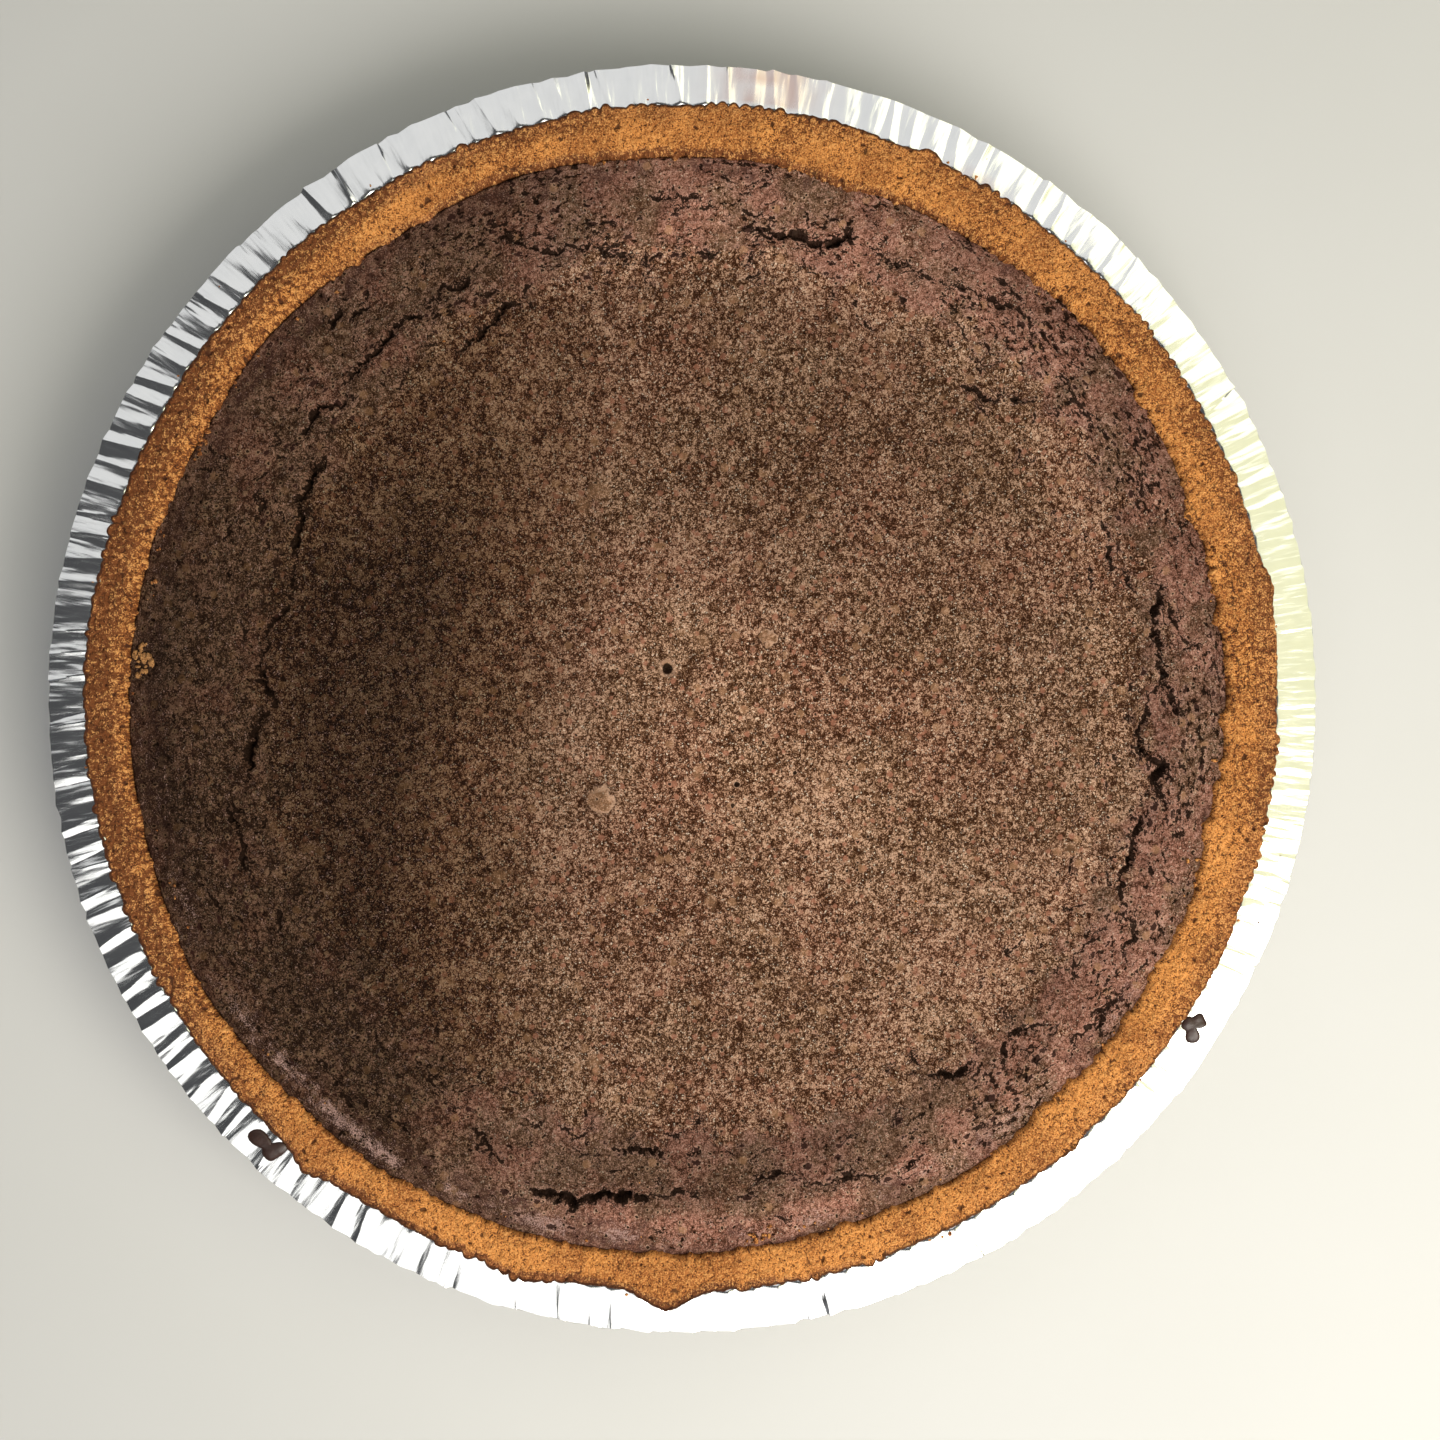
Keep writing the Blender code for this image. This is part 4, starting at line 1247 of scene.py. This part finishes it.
def crumb_places(rng):
    """Where crumbs lie: (x, y, height, size). Most are along the filling's edge, a few on the flange."""
    places = []

    def drop(degrees, radius, size):
        angle = math.radians(degrees)
        x, y = around_point(degrees, radius)
        if radius > CRUST_EDGE_RADIUS + 0.2:
            height = RIM_HEIGHT
        elif radius > EDGE_RADIUS + 0.9:
            height = RIM_HEIGHT + 0.1
        else:
            xs, ys, angles = np.array([x]), np.array([y]), np.array([angle])
            rise, fall = filling_zones(np.hypot(xs, ys), angles, filling_edge(angles))
            height = float((filling_height(xs, ys, rise, fall) + FILLING_RIM_LIFT * fall)[0]) + 0.15
        places.append((x, y, height + 0.3 * size, size))

    for _ in range(80):
        drop(rng.uniform(0, 360), rng.normal(98.6, 0.6), rng.uniform(0.1, 0.25))
    for centre, spread, count in ((160, 14, 10), (152, 1.0, 8), (278, 0.8, 9), (345, 5, 8), (75, 6, 6)):
        for _ in range(count):
            drop(rng.normal(centre, spread), rng.normal(98.2, 0.7), rng.uniform(0.2, 0.5))
    for _ in range(22):
        drop(rng.normal(175.8, 0.8), rng.normal(97.8, 0.7), rng.uniform(0.25, 0.6))
    for _ in range(24):
        drop(rng.uniform(0, 360), rng.normal(107.8, 0.3), rng.uniform(0.12, 0.3))
    for _ in range(5):
        drop(rng.uniform(0, 360), rng.uniform(108.8, 112), rng.uniform(0.08, 0.16))
    for _ in range(16):
        drop(rng.uniform(0, 360), rng.uniform(40, 96), rng.uniform(0.1, 0.22))
    return places


def make_crumbs(material):
    """All the loose crumbs as one mesh. Those of the cluster at the left are tan."""
    rng = generator(7)
    ball, triangles = crumb_shape()
    points, faces = [], []
    for x, y, height, size in crumb_places(rng):
        shift = rng.uniform(-50, 50, 3)
        mixed = ball[:, 1] * 1.1 + ball[:, 2] * 0.9
        lumpy = 1 + 0.8 * fractal(ball[:, 0] + shift[0], mixed + shift[1], 0.8, 97)
        stretch = rng.uniform(0.6, 1.3, 3) * (1, 1, 0.7)
        faces.append(triangles + len(ball) * len(points))
        points.append(ball * lumpy[:, None] * stretch * size + (x, y, height))
    count = len(ball) * len(points)
    middles = np.array([part.mean(0) for part in points])
    # Crumbs further left are browner, as painted shade like the crust's there.
    tones = rng.uniform(-0.2, 0.7, len(points)) + 0.5 * smooth_step(0, -80, middles[:, 0])
    tones[np.hypot(middles[:, 0] + 97.4, middles[:, 1] - 7.2) < 4] = -0.8
    tone = np.repeat(tones, len(ball))
    even = np.full(count, 0.6)
    attributes = {"bake_and_shade": tone, "hollow_shade": np.zeros(count), "grainy": even, "tint_and_shade": even}
    return mesh_object("loose_crumbs", np.concatenate(points), faces, material, attributes)


# The studio.

FLOOR_REACH = 9000.0
FLOOR_HEIGHT = -0.2


def softbox(name, location, target, size, brightness, colour):
    """A plain panel that looks as bright as given wherever it is reflected, and that a camera doesn't see."""
    light = bpy.data.lights.new(name, "AREA")
    light.shape = "RECTANGLE"
    light.size, light.size_y = size
    light.energy = brightness * math.pi * size[0] * size[1]
    light.color = colour
    obj = bpy.data.objects.new(name, light)
    obj.location = location
    obj.visible_camera = False
    bpy.context.scene.collection.objects.link(obj)
    bpy.context.view_layer.update()
    obj.rotation_euler = (Vector(target) - obj.location).to_track_quat("-Z", "Y").to_euler()


def make_studio(material):
    """A pale floor, four panels, and a dim room that is lighter near the horizon."""
    corners = [(-1, -1), (1, -1), (1, 1), (-1, 1)]
    floor_points = np.array([(x * FLOOR_REACH, y * FLOOR_REACH, FLOOR_HEIGHT) for x, y in corners])
    floor = mesh_object("floor", floor_points, [np.array([[0, 1, 2, 3]])], material)
    softbox("key", (0.265, -0.285, 0.46), (0, 0, 0.03), (0.36, 0.36), 7.4, (1.0, 0.95, 0.86))
    softbox("front", (0.25, -0.65, 0.95), (0.25, -0.65, 0), (1.5, 0.8), 1.5, (1.0, 0.99, 0.96))
    softbox("right", (0.61, 0.15, 0.96), (0.61, 0.15, 0), (0.78, 1.2), 0.93, (1.0, 0.98, 0.60))
    softbox("back", (-0.12, 0.56, 0.94), (-0.12, 0.56, 0), (1.3, 0.68), 0.76, (0.98, 0.98, 0.97))
    world = bpy.data.worlds.new("studio")
    world.use_nodes = True
    tree = world.node_tree
    background = tree.nodes["Background"]
    background.inputs["Color"].default_value = (0.93, 0.95, 1.0, 1)
    # The rolled edge of the tin mirrors the room, and side views have it behind the tart.
    coordinates = tree.nodes.new("ShaderNodeTexCoord")
    height = tree.nodes.new("ShaderNodeSeparateXYZ")
    strength = tree.nodes.new("ShaderNodeMapRange")
    for name, value in (("From Min", 0.2), ("From Max", 0.6), ("To Min", 0.3), ("To Max", 0.07)):
        strength.inputs[name].default_value = value
    tree.links.new(coordinates.outputs["Generated"], height.inputs[0])
    tree.links.new(height.outputs["Z"], strength.inputs["Value"])
    tree.links.new(strength.outputs["Result"], background.inputs["Strength"])
    bpy.context.scene.world = world
    bpy.context.scene.view_settings.view_transform = "Standard"


def make_camera():
    """Looks straight down on the tart, as far off as a phone is held."""
    distance, frame_width = 0.33, 0.2596
    camera = bpy.data.cameras.new("camera")
    camera.sensor_width = 36.0
    camera.lens = camera.sensor_width * distance / frame_width
    obj = bpy.data.objects.new("camera", camera)
    obj.location = (0.00685, -0.0039, RIM_HEIGHT * MM + distance)
    bpy.context.scene.collection.objects.link(obj)
    bpy.context.scene.camera = obj


def main():
    foil_look, crust_look, filling_look = foil_material(), crust_material(), filling_material()
    foil = make_foil(foil_look)
    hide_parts("foil_tin")
    crust = make_crust(crust_look)
    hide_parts("crumb_crust")
    filling = make_filling(filling_look)
    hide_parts("chocolate_filling")
    splashes = make_splashes(splash_material())
    crumbs = make_crumbs(crust_look)
    for piece in (foil, crust, filling, crumbs, *splashes):
        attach(piece, "root")
    make_studio(floor_material())
    make_camera()


main()
